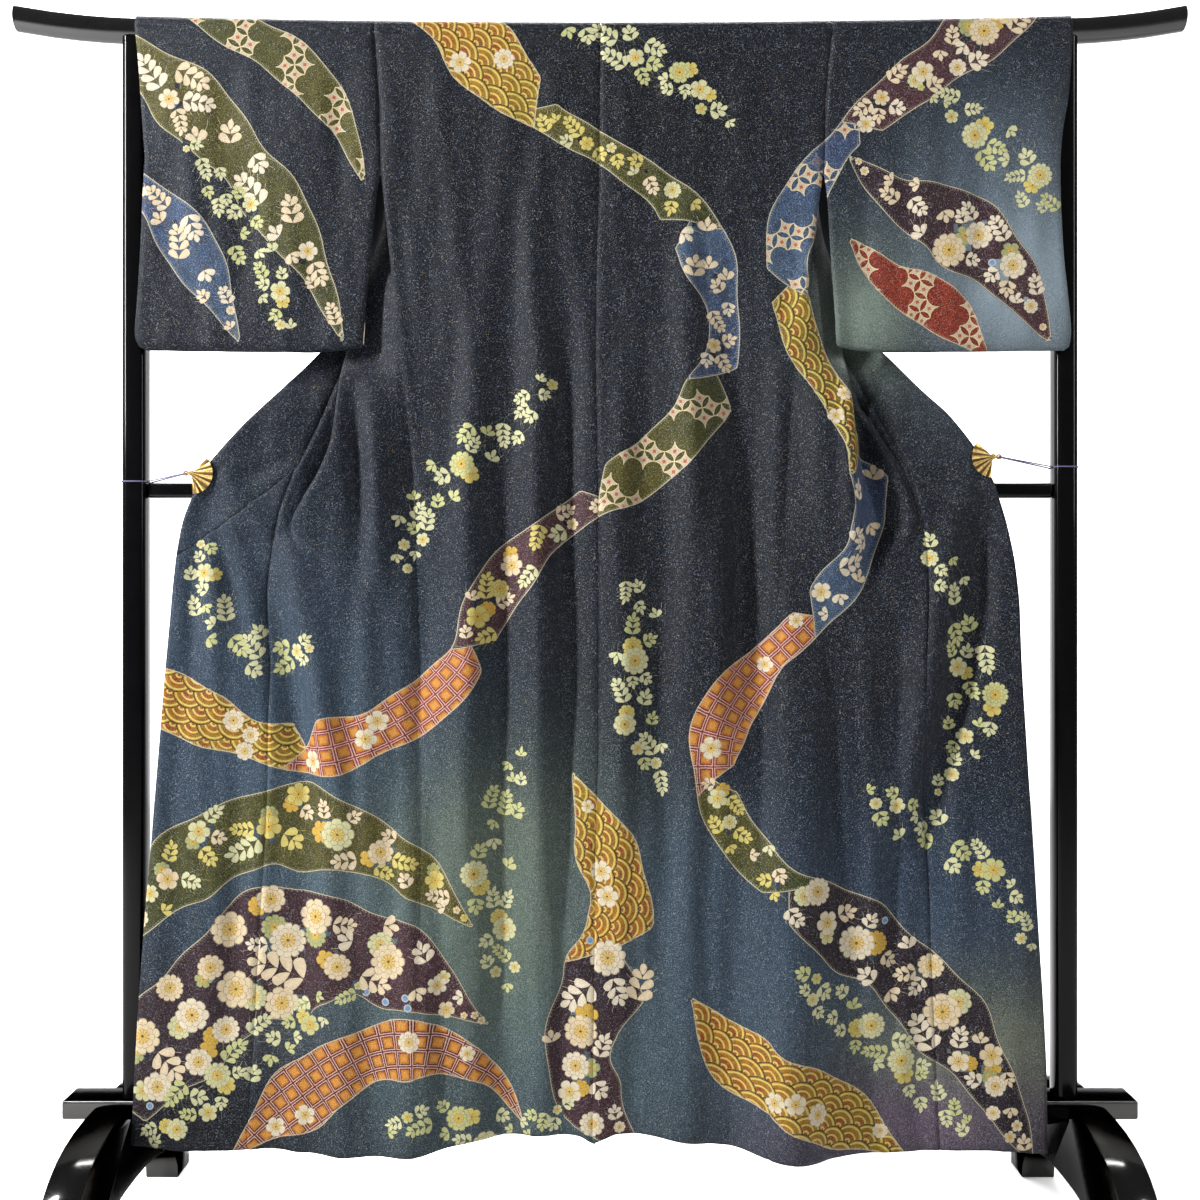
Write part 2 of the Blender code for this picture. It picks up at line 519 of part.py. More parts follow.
def sleeve(side, look):
    """A sleeve: two layers joined at the bottom and, under the cuff opening, at the wrist."""
    sign = SIGN[side]
    points = []
    index = {}

    def put(key, x, y, z):
        index[key] = len(points)
        points.append((sign * x, y, z))

    def value(table, z):
        return float(along(z, SLEEVE_Z, table))

    def side_point(layer, row):
        """Outward, depth and height of the body's armhole on a row of the body."""
        z = LEVELS[row]
        for _ in range(2):
            x, y = float(seam_x(SIDE_SEAM[side], z)), 0.0
            if layer == "front" and row < len(LEVELS) - 1:
                x, y = front_point(side, 0, z)
            z = float(level_heights(sign * x, LEVELS)[row])
        if layer == "back":
            y = float(sheet_depth(sign * x, z))
        return x + SEAM_GAP * (3.5 if layer == "front" else 1), y, z

    last = SLEEVE_COLUMNS
    rows = len(SLEEVE_LEVELS) + len(LEVELS) - 1 - ARMHOLE_ROW
    for j in range(last + 1):
        u = j / last
        low = float(np.interp(u, SLEEVE_BOTTOM_U, SLEEVE_BOTTOM_Z))
        inner = value(SLEEVE_INNER[side], low)
        outer = value(SLEEVE_OUTER[side], low)
        y = (value(SLEEVE_BACK_Y, low) + value(SLEEVE_FRONT_Y_INNER, low)) / 2
        put(("fold", j), inner + (outer - inner) * u, y, low)
        for layer in ("back", "front"):
            table = SLEEVE_OUTER if layer == "back" else SLEEVE_FRONT_OUTER
            for i in range(rows + 1):
                row = i - len(SLEEVE_LEVELS) + ARMHOLE_ROW
                if i < len(SLEEVE_LEVELS):
                    fade = (SLEEVE_BOTTOM_Z[-1] - low) * smooth((1.40 - SLEEVE_LEVELS[i]) / 0.1)
                    z = SLEEVE_LEVELS[i] - float(fade)
                    inner = value(SLEEVE_INNER[side], z)
                    inner_y = value(SLEEVE_FRONT_Y_INNER, z)
                    if layer == "back":
                        inner_y = value(SLEEVE_BACK_Y, z)
                else:
                    inner, inner_y, z = side_point(layer, row)
                x = inner + (value(table[side], z) - inner) * u
                z += (float(rod_height(x)) - float(rod_height(inner))) * smooth(
                    (z - 1.50) / 0.25)
                y = value(SLEEVE_BACK_Y, z)
                if layer == "front":
                    y = value(SLEEVE_FRONT_Y_OUTER, z)
                y = inner_y + (y - inner_y) * u
                if i == rows:
                    x = inner + (value(table[side], ROD_CENTRE_Z + 0.01) - inner) * u
                    z = float(rod_height(x))
                    y = -CLOTH_RADIUS if layer == "back" else CLOTH_RADIUS
                put((layer, i, j), x, y, z)
        x = points[-1][0] * sign
        for a in range(1, ARC_STEPS):
            turn = math.pi * a / ARC_STEPS
            put(("arc", a, j), x, -CLOTH_RADIUS * math.cos(turn),
                float(rod_height(x)) + CLOTH_RADIUS * math.sin(turn))
        index[("arc", 0, j)] = index[("back", rows, j)]
        index[("arc", ARC_STEPS, j)] = index[("front", rows, j)]
    for i in range(CUFF_LEVEL + 1):
        back = np.array(points[index[("back", i, last)]])
        front = np.array(points[index[("front", i, last)]])
        middle = (back + front) / 2
        put(("edge", i), abs(middle[0]) + EDGE_ROUND, middle[1], middle[2])

    faces = []

    def face(*keys):
        ring = [index[key] for key in keys]
        faces.append(ring if sign > 0 else ring[::-1])

    for j in range(last):
        face(("fold", j), ("fold", j + 1), ("back", 0, j + 1), ("back", 0, j))
        face(("front", 0, j), ("front", 0, j + 1), ("fold", j + 1), ("fold", j))
        for i in range(rows):
            face(("back", i, j), ("back", i, j + 1), ("back", i + 1, j + 1), ("back", i + 1, j))
            face(("front", i + 1, j), ("front", i + 1, j + 1), ("front", i, j + 1),
                 ("front", i, j))
        for a in range(ARC_STEPS):
            face(("arc", a, j), ("arc", a, j + 1), ("arc", a + 1, j + 1), ("arc", a + 1, j))
    face(("fold", last), ("edge", 0), ("back", 0, last))
    face(("front", 0, last), ("edge", 0), ("fold", last))
    for i in range(CUFF_LEVEL):
        face(("back", i, last), ("edge", i), ("edge", i + 1), ("back", i + 1, last))
        face(("front", i + 1, last), ("edge", i + 1), ("edge", i), ("front", i, last))
    made = mesh_object(f"sleeve_{side}", points, faces, look)
    cloth_wall(made)


def beveled_box(name, low, high, radius, look, vertical_only=False):
    """A box between two corners with its edges rounded."""
    work = bmesh.new()
    bmesh.ops.create_cube(work, size=1.0)
    size = np.subtract(high, low)
    middle = np.add(high, low) / 2
    for v in work.verts:
        v.co = [v.co[c] * size[c] + middle[c] for c in range(3)]
    edges = [e for e in work.edges
             if not vertical_only or abs(e.verts[0].co.z - e.verts[1].co.z) > radius]
    bmesh.ops.bevel(work, geom=edges, offset=radius, segments=3, profile=0.5,
                    affect="EDGES")
    data = bpy.data.meshes.new(name)
    work.to_mesh(data)
    work.free()
    made = bpy.data.objects.new(name, data)
    made.data.materials.append(look)
    return made


def cutter(made):
    made.display_type = "WIRE"
    CUTTERS.objects.link(made)
    return made


def cut(made, tool):
    step = made.modifiers.new("cut", "BOOLEAN")
    step.operation = "DIFFERENCE"
    step.solver = "EXACT"
    step.object = tool


def swept_rod(name, radius, look, sides=24):
    """A round bar along the rod's line, its ends closed by flat discs."""
    xs = np.concatenate([-np.array(ROD_STEPS)[::-1], ROD_STEPS[1:]])
    steps = len(xs) - 1
    turn = np.arange(sides) * 2 * math.pi / sides
    points = [(x, radius * math.cos(t), float(rod_height(x)) + radius * math.sin(t))
              for x in xs for t in turn]
    faces = []
    for i in range(steps):
        for s in range(sides):
            n = (s + 1) % sides
            faces.append([i * sides + s, i * sides + n, (i + 1) * sides + n,
                          (i + 1) * sides + s])
    faces.append(list(range(sides))[::-1])
    faces.append([steps * sides + s for s in range(sides)])
    data = bpy.data.meshes.new(name)
    data.from_pydata(points, [], faces)
    made = bpy.data.objects.new(name, data)
    made.data.materials.append(look)
    face_outward(made)
    return made


def foot(side, look):
    """An arched foot: a rounded arch profile, drawn across the depth and given its width."""
    sign = SIGN[side]

    def arc(half, high, power, count):
        turn = np.linspace(0.0, math.pi, count)
        y = np.sign(np.cos(turn)) * np.abs(np.cos(turn)) ** (2 / power) * half
        z = np.sin(turn) ** (2 / power) * high
        return list(zip(y, np.maximum(z, 0.0)))

    ring = arc(FOOT_HALF_LONG, FOOT_HIGH, FOOT_POWER, 23)
    ring += arc(ARCH_HALF_LONG, ARCH_HIGH, ARCH_POWER, 19)[::-1]
    count = len(ring)
    points = [(sign * x, y, z) for x in (FOOT_INNER_X, FOOT_OUTER_X) for y, z in ring]
    faces = [list(range(count)), [count + n for n in range(count)][::-1]]
    for n in range(count):
        m = (n + 1) % count
        faces.append([n, count + n, count + m, m])
    made = mesh_object(f"foot_{side}", points, faces, look)
    face_outward(made)
    notch = beveled_box(f"foot_notch_{side}",
                        (sign * POST_X - 0.1, -BEAM_DEEP / 2 - GAP, BEAM_BOTTOM - GAP),
                        (sign * POST_X + 0.1, BEAM_DEEP / 2 + GAP, BEAM_TOP + 0.1),
                        0.002, look)
    cut(made, cutter(notch))
    rim = made.modifiers.new("rounded rim", "BEVEL")
    rim.width = 0.004
    rim.segments = 2
    rim.limit_method = "ANGLE"
    rim.angle_limit = math.radians(50)


def fan_leaf(name, side, inner_y, out, ridge, look):
    """A fan of thin ribs round the clip's pivot; a leaf without a ridge is plain."""
    sign = SIGN[side]
    pivot_x, pivot_z = CLIP_PIVOT[side]
    turns = np.radians(np.linspace(FAN_START[side], FAN_END[side], 2 * FAN_RIBS + 1))
    points = []
    for skin in (0, 1):
        for radius in (0.002, FAN_RADIUS):
            for n, turn in enumerate(turns):
                rise = ridge * (n % 2) * skin * radius / FAN_RADIUS
                points.append((sign * (pivot_x - radius * math.cos(turn)),
                               inner_y + out * (LEAF * skin + rise),
                               pivot_z + radius * math.sin(turn)))
    count = len(turns)
    faces = []
    for n in range(count - 1):
        for a, b in ((0, 1), (1, 3), (3, 2), (2, 0)):
            faces.append([a * count + n, a * count + n + 1, b * count + n + 1, b * count + n])
    for n in (0, count - 1):
        faces.append([n, count + n, 3 * count + n, 2 * count + n])
    made = mesh_object(name, points, faces, look)
    face_outward(made)
    return made


def barrel(name, x, z, low_y, high_y, radius, look, sides=22):
    """A short round bar along the depth."""
    turn = np.arange(sides) * 2 * math.pi / sides
    points = [(x + radius * math.cos(t), y, z + radius * math.sin(t))
              for y in (low_y, high_y) for t in turn]
    faces = [[n, (n + 1) % sides, sides + (n + 1) % sides, sides + n] for n in range(sides)]
    faces += [list(range(sides)), [sides + n for n in range(sides)]]
    data = bpy.data.meshes.new(name)
    data.from_pydata(points, [], faces)
    made = bpy.data.objects.new(name, data)
    made.data.materials.append(look)
    face_outward(made)
    return cutter(made)


def join(made, other):
    step = made.modifiers.new("join", "BOOLEAN")
    step.operation = "UNION"
    step.solver = "EXACT"
    step.object = other


def clip(side, look):
    """A fan clip: a ribbed leaf and a plain leaf on one barrel, with a lug for the thread."""
    sign = SIGN[side]
    pivot_x, pivot_z = CLIP_PIVOT[side]
    front = CLIP_MIDDLE_Y - WALL / 2 - LEAF_CLEAR
    back = CLIP_MIDDLE_Y + WALL / 2 + LEAF_CLEAR
    made = fan_leaf(f"clip_{side}", side, front, -1, FAN_RIDGE, look)
    plain = fan_leaf(f"clip_back_leaf_{side}", side, back, 1, 0.0, look)
    PARTS.objects.unlink(plain)
    join(made, cutter(plain))
    join(made, barrel(f"clip_barrel_{side}", sign * pivot_x, pivot_z, front - LEAF * 1.6,
                      back + LEAF * 0.8, BARREL_RADIUS, look))
    lug_x = sign * (pivot_x + LUG_OUT)
    low = CLIP_MIDDLE_Y - LEAF * 0.6
    high = CLIP_MIDDLE_Y + LEAF * 0.6
    join(made, barrel(f"clip_lug_{side}", lug_x, pivot_z, low, high, LUG_RADIUS, look))
    neck = beveled_box(f"clip_neck_{side}",
                       (min(sign * pivot_x, lug_x), low + 0.0002, pivot_z - 0.0022),
                       (max(sign * pivot_x, lug_x), high - 0.0002, pivot_z + 0.0022),
                       0.0002, look)
    join(made, cutter(neck))
    cut(made, barrel(f"clip_hole_{side}", lug_x, pivot_z, low - 0.01, high + 0.01,
                     HOLE_RADIUS, look))


def thread(side, look):
    """A closed loop of thread: through the clip's lug, then round the post."""
    sign = SIGN[side]
    pivot_x, pivot_z = CLIP_PIVOT[side]
    away = THREAD_RADIUS + GAP
    wide = POST_WIDE / 2 + away
    deep = POST_DEEP / 2 + away
    corner = POST_CORNER + away
    post_z = max(pivot_z - 0.012, RAIL_Z + RAIL_HIGH / 2 + 0.0015)
    path = []
    for n in range(5):
        turn = math.radians(-90 + 180 * n / 4)
        path.append((pivot_x + LUG_OUT - 0.0002 * math.cos(turn),
                     CLIP_MIDDLE_Y + 0.0032 * math.sin(turn), pivot_z))
    for middle_x, middle_y, start in ((-1, 1, 180), (1, 1, 90), (1, -1, 0), (-1, -1, -90)):
        for n in range(5):
            turn = math.radians(start - 90 * n / 4)
            path.append((POST_X + middle_x * (wide - corner) + corner * math.cos(turn),
                         middle_y * (deep - corner) + corner * math.sin(turn), post_z))
    data = bpy.data.curves.new(f"thread_{side}", "CURVE")
    data.dimensions = "3D"
    data.bevel_depth = THREAD_RADIUS
    data.bevel_resolution = 1
    line = data.splines.new("POLY")
    line.points.add(len(path) - 1)
    for point, (x, y, z) in zip(line.points, path):
        point.co = (sign * x, y, z, 1.0)
    line.use_cyclic_u = True
    made = bpy.data.objects.new(f"thread_{side}", data)
    made.data.materials.append(look)
    PARTS.objects.link(made)


def stand():
    rod = swept_rod("rod", ROD_RADIUS, material("rod lacquer", (0.012, 0.012, 0.013), 0.12))
    PARTS.objects.link(rod)
    coping = cutter(swept_rod("coping", ROD_RADIUS + GAP,
                              material("coping lacquer", (0.012, 0.012, 0.013), 0.12)))
    for side, sign in SIGN.items():
        look = material(f"post {side} lacquer", (0.012, 0.012, 0.013), 0.12)
        post = beveled_box(f"post_{side}",
                           (sign * POST_X - POST_WIDE / 2, -POST_DEEP / 2, BEAM_TOP + GAP),
                           (sign * POST_X + POST_WIDE / 2, POST_DEEP / 2, POST_TOP),
                           POST_CORNER, look, vertical_only=True)
        PARTS.objects.link(post)
        cut(post, coping)
        foot(side, material(f"foot {side} lacquer", (0.012, 0.012, 0.013), 0.12))
        clip(side, material(f"clip {side} brass", (0.70, 0.50, 0.18), 0.28, metallic=1.0))
        thread(side, material(f"thread {side}", (0.10, 0.08, 0.20), 0.7))
    reach = POST_X - POST_WIDE / 2 - GAP
    rail = beveled_box("mid_rail", (-reach, -RAIL_DEEP / 2, RAIL_Z - RAIL_HIGH / 2),
                       (reach, RAIL_DEEP / 2, RAIL_Z + RAIL_HIGH / 2), 0.005,
                       material("rail lacquer", (0.012, 0.012, 0.013), 0.12))
    PARTS.objects.link(rail)
    beam = beveled_box("base_beam", (-BEAM_END_X, -BEAM_DEEP / 2, BEAM_BOTTOM),
                       (BEAM_END_X, BEAM_DEEP / 2, BEAM_TOP), 0.003,
                       material("beam lacquer", (0.012, 0.012, 0.013), 0.12))
    PARTS.objects.link(beam)


def kimono():
    navy = (0.030, 0.036, 0.050)
    tops = {}
    for side in SIGN:
        body(side, material(f"body {side} silk", navy, 0.6, sheen=0.3))
        tops[side] = okumi(side, material(f"okumi {side} silk", navy, 0.6, sheen=0.3))[-1]
        sleeve(side, material(f"sleeve {side} silk", navy, 0.6, sheen=0.3))
    collar(material("collar silk", navy, 0.6, sheen=0.3), tops)


clear_scene()
PARTS = collection("kimono on stand")
CUTTERS = collection("cutters", cutters=True)
stand()
kimono()
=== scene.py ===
import math

import bpy
import numpy as np
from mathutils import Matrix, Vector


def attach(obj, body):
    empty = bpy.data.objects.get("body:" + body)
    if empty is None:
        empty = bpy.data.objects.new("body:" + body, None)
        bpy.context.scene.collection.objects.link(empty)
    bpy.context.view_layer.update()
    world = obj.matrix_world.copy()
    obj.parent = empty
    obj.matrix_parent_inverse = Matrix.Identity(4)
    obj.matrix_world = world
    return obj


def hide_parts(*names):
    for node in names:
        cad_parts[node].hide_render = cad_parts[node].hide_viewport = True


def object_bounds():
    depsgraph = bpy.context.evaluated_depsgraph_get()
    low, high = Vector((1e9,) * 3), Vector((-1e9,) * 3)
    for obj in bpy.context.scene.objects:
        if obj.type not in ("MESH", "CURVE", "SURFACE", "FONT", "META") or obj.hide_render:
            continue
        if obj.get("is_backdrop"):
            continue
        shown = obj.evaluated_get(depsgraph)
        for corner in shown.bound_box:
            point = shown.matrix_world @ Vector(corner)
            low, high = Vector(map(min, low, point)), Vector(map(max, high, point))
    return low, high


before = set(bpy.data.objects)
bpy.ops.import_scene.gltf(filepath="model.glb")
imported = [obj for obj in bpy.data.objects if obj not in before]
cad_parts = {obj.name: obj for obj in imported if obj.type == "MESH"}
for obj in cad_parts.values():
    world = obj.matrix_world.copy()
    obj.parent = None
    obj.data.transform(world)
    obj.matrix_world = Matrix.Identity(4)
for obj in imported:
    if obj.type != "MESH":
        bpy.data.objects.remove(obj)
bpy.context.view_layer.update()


# ---- The room: a pale floor, a lit white wall, tall lamps at both sides, and the view
#
# The kimono is looked at square on, from its back, at the height of its middle. The left
# lamp is the strongest, so that each fold has a light and a dark side, and all of them are
# long and soft, so that the lacquer shows quiet lines.

VIEW_DISTANCE = 2.1          # from the cloth
VIEW_WIDE = 1.74             # width seen at the cloth
CLOTH_DEPTH = -0.022
VIEW_HEIGHT = 0.928
SENSOR = 36.0

camera_data = bpy.data.cameras.new("view")
camera_data.sensor_width = SENSOR
camera_data.lens = SENSOR * VIEW_DISTANCE / VIEW_WIDE
camera = bpy.data.objects.new("view", camera_data)
camera.location = (0.0, CLOTH_DEPTH - VIEW_DISTANCE, VIEW_HEIGHT)
camera.rotation_euler = (math.pi / 2, 0.0, 0.0)
bpy.context.scene.collection.objects.link(camera)
bpy.context.scene.camera = camera
bpy.context.scene.view_settings.view_transform = "Standard"
for kind, most in (("max", 3), ("diffuse", 1), ("glossy", 2), ("transmission", 0)):
    setattr(bpy.context.scene.cycles, f"{kind}_bounces", most)     # enough for a pale room

LAMPS = (
    # name      place               aimed at            size       watts
    ("left", (-3.0, -1.5, 2.7), (0.0, 0.0, 1.0), (0.28, 2.6), 760.0),
    ("right", (2.8, -1.8, 2.4), (0.0, 0.0, 0.9), (0.30, 2.6), 120.0),
    ("top", (0.0, 0.92, 2.94), (0.0, 0.0, 1.75), (3.2, 0.20), 120.0),
    ("behind", (0.4, 3.0, 2.6), (0.0, 0.0, 1.0), (2.4, 1.6), 12.0),
)
for name, place, target, (wide, high), watts in LAMPS:
    data = bpy.data.lights.new(f"lamp_{name}", "AREA")
    data.shape = "RECTANGLE"
    data.size = wide
    data.size_y = high
    data.energy = watts
    lamp = bpy.data.objects.new(f"lamp_{name}", data)
    lamp.location = place
    aim = np.subtract(target, place)
    lamp.rotation_euler = (math.atan2(math.hypot(aim[0], aim[1]), -aim[2]), 0.0,
                           math.atan2(-aim[0], aim[1]))
    bpy.context.scene.collection.objects.link(lamp)

world = bpy.data.worlds.new("room")
world.use_nodes = True
world.node_tree.nodes["Background"].inputs["Color"].default_value = (1.0, 1.0, 1.0, 1.0)
world.node_tree.nodes["Background"].inputs["Strength"].default_value = 0.38
bpy.context.scene.world = world

FLOOR_HALF = 9.0
floor_mesh = bpy.data.meshes.new("floor")
floor_mesh.from_pydata([(-FLOOR_HALF, -FLOOR_HALF, 0.0), (FLOOR_HALF, -FLOOR_HALF, 0.0),
                        (FLOOR_HALF, FLOOR_HALF, 0.0), (-FLOOR_HALF, FLOOR_HALF, 0.0)],
                       [], [(0, 1, 2, 3)])
floor = bpy.data.objects.new("floor", floor_mesh)
bpy.context.scene.collection.objects.link(floor)
floor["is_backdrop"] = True

WALL_HALF, WALL_HIGH, WALL_Y = 8.0, 9.0, 4.6     # a lit white wall behind the stand
wall_mesh = bpy.data.meshes.new("white wall")
wall_mesh.from_pydata([(-WALL_HALF, WALL_Y, -0.5), (WALL_HALF, WALL_Y, -0.5),
                       (WALL_HALF, WALL_Y, WALL_HIGH), (-WALL_HALF, WALL_Y, WALL_HIGH)],
                      [], [(0, 1, 2, 3)])
white_wall = bpy.data.objects.new("white wall", wall_mesh)
bpy.context.scene.collection.objects.link(white_wall)
white_wall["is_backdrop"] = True


# ---- Materials as sums: a value in a shader can be added, multiplied and so on
#
# Value wraps one output socket. Arithmetic on it adds Math nodes, and Look.node adds any
# other node from its type, its settings and the values or links of its sockets.

class Value:
    def __init__(self, look, socket):
        self.look = look
        self.socket = socket

    def maths(self, operation, *others):
        return self.look.node("ShaderNodeMath", {"operation": operation},
                              dict(enumerate(others)))["Value"]

    def __add__(self, other):
        return self.maths("ADD", self, other)

    def __sub__(self, other):
        return self.maths("SUBTRACT", self, other)

    def __rsub__(self, other):
        return self.maths("SUBTRACT", other, self)

    def __mul__(self, other):
        return self.maths("MULTIPLY", self, other)

    def __truediv__(self, other):
        return self.maths("DIVIDE", self, other)

    def __pow__(self, other):
        return self.maths("POWER", self, other)

    def __abs__(self):
        return self.maths("ABSOLUTE", self)

    __radd__ = __add__
    __rmul__ = __mul__

    def part(self):
        """The part after the decimal point."""
        return self.maths("FRACT", self)

    def floor(self):
        return self.maths("FLOOR", self)

    def sine(self):
        return self.maths("SINE", self)

    def cosine(self):
        return self.maths("COSINE", self)

    def least(self, other):
        return self.maths("MINIMUM", self, other)

    def most(self, other):
        return self.maths("MAXIMUM", self, other)

    def held(self):
        """The value, kept from 0 to 1."""
        return self.most(0.0).least(1.0)

    def under(self, edge, soft):
        """1 where the value is under the edge, 0 over it, and soft across the edge."""
        return ((edge - self) * (1.0 / soft) + 0.5).held()

    def over(self, edge, soft):
        """1 where the value is over the edge, 0 under it, and soft across the edge."""
        return ((self - edge) * (1.0 / soft) + 0.5).held()

    def near(self, middle, half, soft):
        """1 within half of the middle, and soft at both ends."""
        return abs(self - middle).under(half, soft)


class Made:
    def __init__(self, look, node):
        self.look = look
        self.node = node

    def __getitem__(self, name):
        return Value(self.look, self.node.outputs[name])


class Look:
    """A material with one Principled shader, and the nodes that feed it."""

    def __init__(self, name):
        self.material = bpy.data.materials.new(name)
        self.material.use_nodes = True
        self.tree = self.material.node_tree
        self.shader = self.tree.nodes["Principled BSDF"]

    def node(self, kind, settings=None, values=None):
        made = self.tree.nodes.new(kind)
        for name, setting in (settings or {}).items():
            setattr(made, name, setting)
        for name, value in (values or {}).items():
            self.feed(made.inputs[name], value)
        return Made(self, made)

    def feed(self, socket, value):
        if isinstance(value, Value):
            self.tree.links.new(value.socket, socket)
        elif isinstance(value, tuple) and len(value) == 3 and socket.type == "RGBA":
            socket.default_value = (*value, 1.0)
        else:
            socket.default_value = value

    def set(self, **values):
        for name, value in values.items():
            self.feed(self.shader.inputs[name.replace("_", " ").title()
                                         .replace("Ior", "IOR")], value)

    def mix(self, share, first, second, how="MIX"):
        """The first colour, going over to the second as share goes from 0 to 1."""
        return self.node("ShaderNodeMix", {"data_type": "RGBA", "blend_type": how},
                         {0: share, 6: first, 7: second})[2]

    def place(self):
        return self.node("ShaderNodeTexCoord")["Object"]

    def noise(self, scale, detail=2.0, rough=0.5, where=None):
        return self.node("ShaderNodeTexNoise", None,
                         {"Scale": scale, "Detail": detail, "Roughness": rough,
                          "Vector": where or self.place()})["Fac"]

    def bump(self, height, depth, strength=1.0, under=None):
        values = {"Height": height, "Distance": depth, "Strength": strength}
        if under is not None:
            values["Normal"] = under
        return self.node("ShaderNodeBump", None, values)["Normal"]

    def attribute(self, name, part="Color"):
        return self.node("ShaderNodeAttribute", {"attribute_name": name})[part]


def dyed(red, green, blue):
    """A colour as the eye reads it, 0 to 255, as the shader takes it."""
    share = np.array((red, green, blue)) / 255.0
    linear = np.where(share > 0.04045, ((share + 0.055) / 1.055) ** 2.4, share / 12.92)
    return tuple(float(c) for c in linear)


floor_look = Look("pale floor")
floor_look.set(base_color=floor_look.mix(floor_look.noise(6.0, 3.0), (0.965, 0.965, 0.965),
                                         (0.985, 0.985, 0.985)), roughness=0.8)
floor_mesh.materials.append(floor_look.material)

wall_look = Look("lit white wall")
wall_look.set(base_color=wall_look.mix(wall_look.noise(3.0, 2.0), (0.94, 0.94, 0.94),
                                       (0.97, 0.97, 0.97)), roughness=0.9,
              emission_color=(1.0, 1.0, 1.0), emission_strength=1.0)
wall_mesh.materials.append(wall_look.material)


# ---- The stand: feet, beam, posts, middle rail and rod in black lacquer
#
# Turned and planed wood under many rubbed coats of black lacquer. The posts stand on the
# beam and carry the rod, whose ends rise in a slow curve. Its gloss has faint rubbed
# swirls and a little dust.

LACQUERED = ("foot_left", "foot_right", "base_beam", "post_left", "post_right", "mid_rail",
             "rod")

TURNED_UNDER = math.radians(32.0)    # faces that meet at less than this read as one round
WELDED_UNDER = 0.00002               # corners nearer than this are one corner


def rounding():
    """A modifier group that joins the faces' corners, shades the faces smooth and keeps
    the sharper edges sharp."""
    group = bpy.data.node_groups.new("rounded", "GeometryNodeTree")
    group.interface.new_socket("Geometry", in_out="INPUT", socket_type="NodeSocketGeometry")
    group.interface.new_socket("Geometry", in_out="OUTPUT", socket_type="NodeSocketGeometry")
    made = {kind: group.nodes.new(kind) for kind in
            ("NodeGroupInput", "NodeGroupOutput", "GeometryNodeInputMeshEdgeAngle",
             "FunctionNodeCompare", "GeometryNodeRemoveAttribute",
             "GeometryNodeMergeByDistance")}
    faces, edges = (group.nodes.new("GeometryNodeSetShadeSmooth") for _ in range(2))
    edges.domain = "EDGE"
    angle, small = made["GeometryNodeInputMeshEdgeAngle"], made["FunctionNodeCompare"]
    small.operation = "LESS_THAN"
    small.inputs["B"].default_value = TURNED_UNDER
    plain, welded = made["GeometryNodeRemoveAttribute"], made["GeometryNodeMergeByDistance"]
    plain.inputs["Name"].default_value = "custom_normal"
    welded.inputs["Distance"].default_value = WELDED_UNDER
    links = group.links
    links.new(angle.outputs["Unsigned Angle"], small.inputs["A"])
    links.new(made["NodeGroupInput"].outputs["Geometry"], plain.inputs["Geometry"])
    links.new(plain.outputs["Geometry"], welded.inputs["Geometry"])
    links.new(welded.outputs["Geometry"], faces.inputs["Geometry"])
    links.new(faces.outputs["Geometry"], edges.inputs["Geometry"])
    links.new(small.outputs["Result"], edges.inputs["Shade Smooth"])
    links.new(edges.outputs["Geometry"], made["NodeGroupOutput"].inputs["Geometry"])
    return group


ROUNDING = rounding()


def rounded(node):
    node.modifiers.new("rounded", "NODES").node_group = ROUNDING


GLOSS = {"rod": 1.40}      # the rod's coats are polished more than the others
GLOSS_ELSEWHERE = 1.15
DEEP_COATS = 0.28          # the lowest pieces' deep coats stay dark seen nearly edge on

for name in LACQUERED:
    lacquer = Look(f"black lacquer {name}")
    rubbed = lacquer.noise(34.0, 5.0, 0.62)
    streak = lacquer.noise(260.0, 2.0, 0.5)
    dust = lacquer.noise(900.0, 2.0, 0.6).under(0.33, 0.05)
    colour = lacquer.mix(rubbed, (0.0004, 0.0004, 0.0005), (0.0011, 0.0011, 0.0013))
    lacquer.set(base_color=lacquer.mix(dust * 0.05, colour, (0.03, 0.03, 0.03)),
                roughness=0.07 + rubbed * 0.07 + dust * 0.2 + streak * 0.03,
                ior=GLOSS.get(name, GLOSS_ELSEWHERE),
                normal=lacquer.bump(rubbed + streak * 0.2, 0.0002, 0.4))
    if name.startswith("foot") or name == "base_beam":
        lacquer.set(metallic=1.0, specular_tint=(DEEP_COATS, DEEP_COATS, DEEP_COATS),
                    base_color=lacquer.mix(rubbed, (0.022, 0.022, 0.022),
                                           (0.034, 0.033, 0.032)))
    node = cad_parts[name]
    node.data.materials.clear()
    node.data.materials.append(lacquer.material)
    rounded(node)


# ---- The kimono's shape: one surface of hanging silk that all its pieces lie on
#
# The garment hangs open from the rod, its back square to the view, its two fronts folded
# out beside it and held by a clip at each side. Seams run down at measured places,
# and the cloth's weight draws it into soft, uneven folds that deepen towards the hem.

SIGN = {"left": -1, "right": 1}
SEAM_GAP = 0.0004
CLOTH_THICK = 0.0013
ROD_CENTRE_Z = 1.752
ROD_BOW = 0.02
ROD_UPTURN = 0.44
ROD_UPTURN_X = 0.68
CLOTH_RADIUS = 0.0205

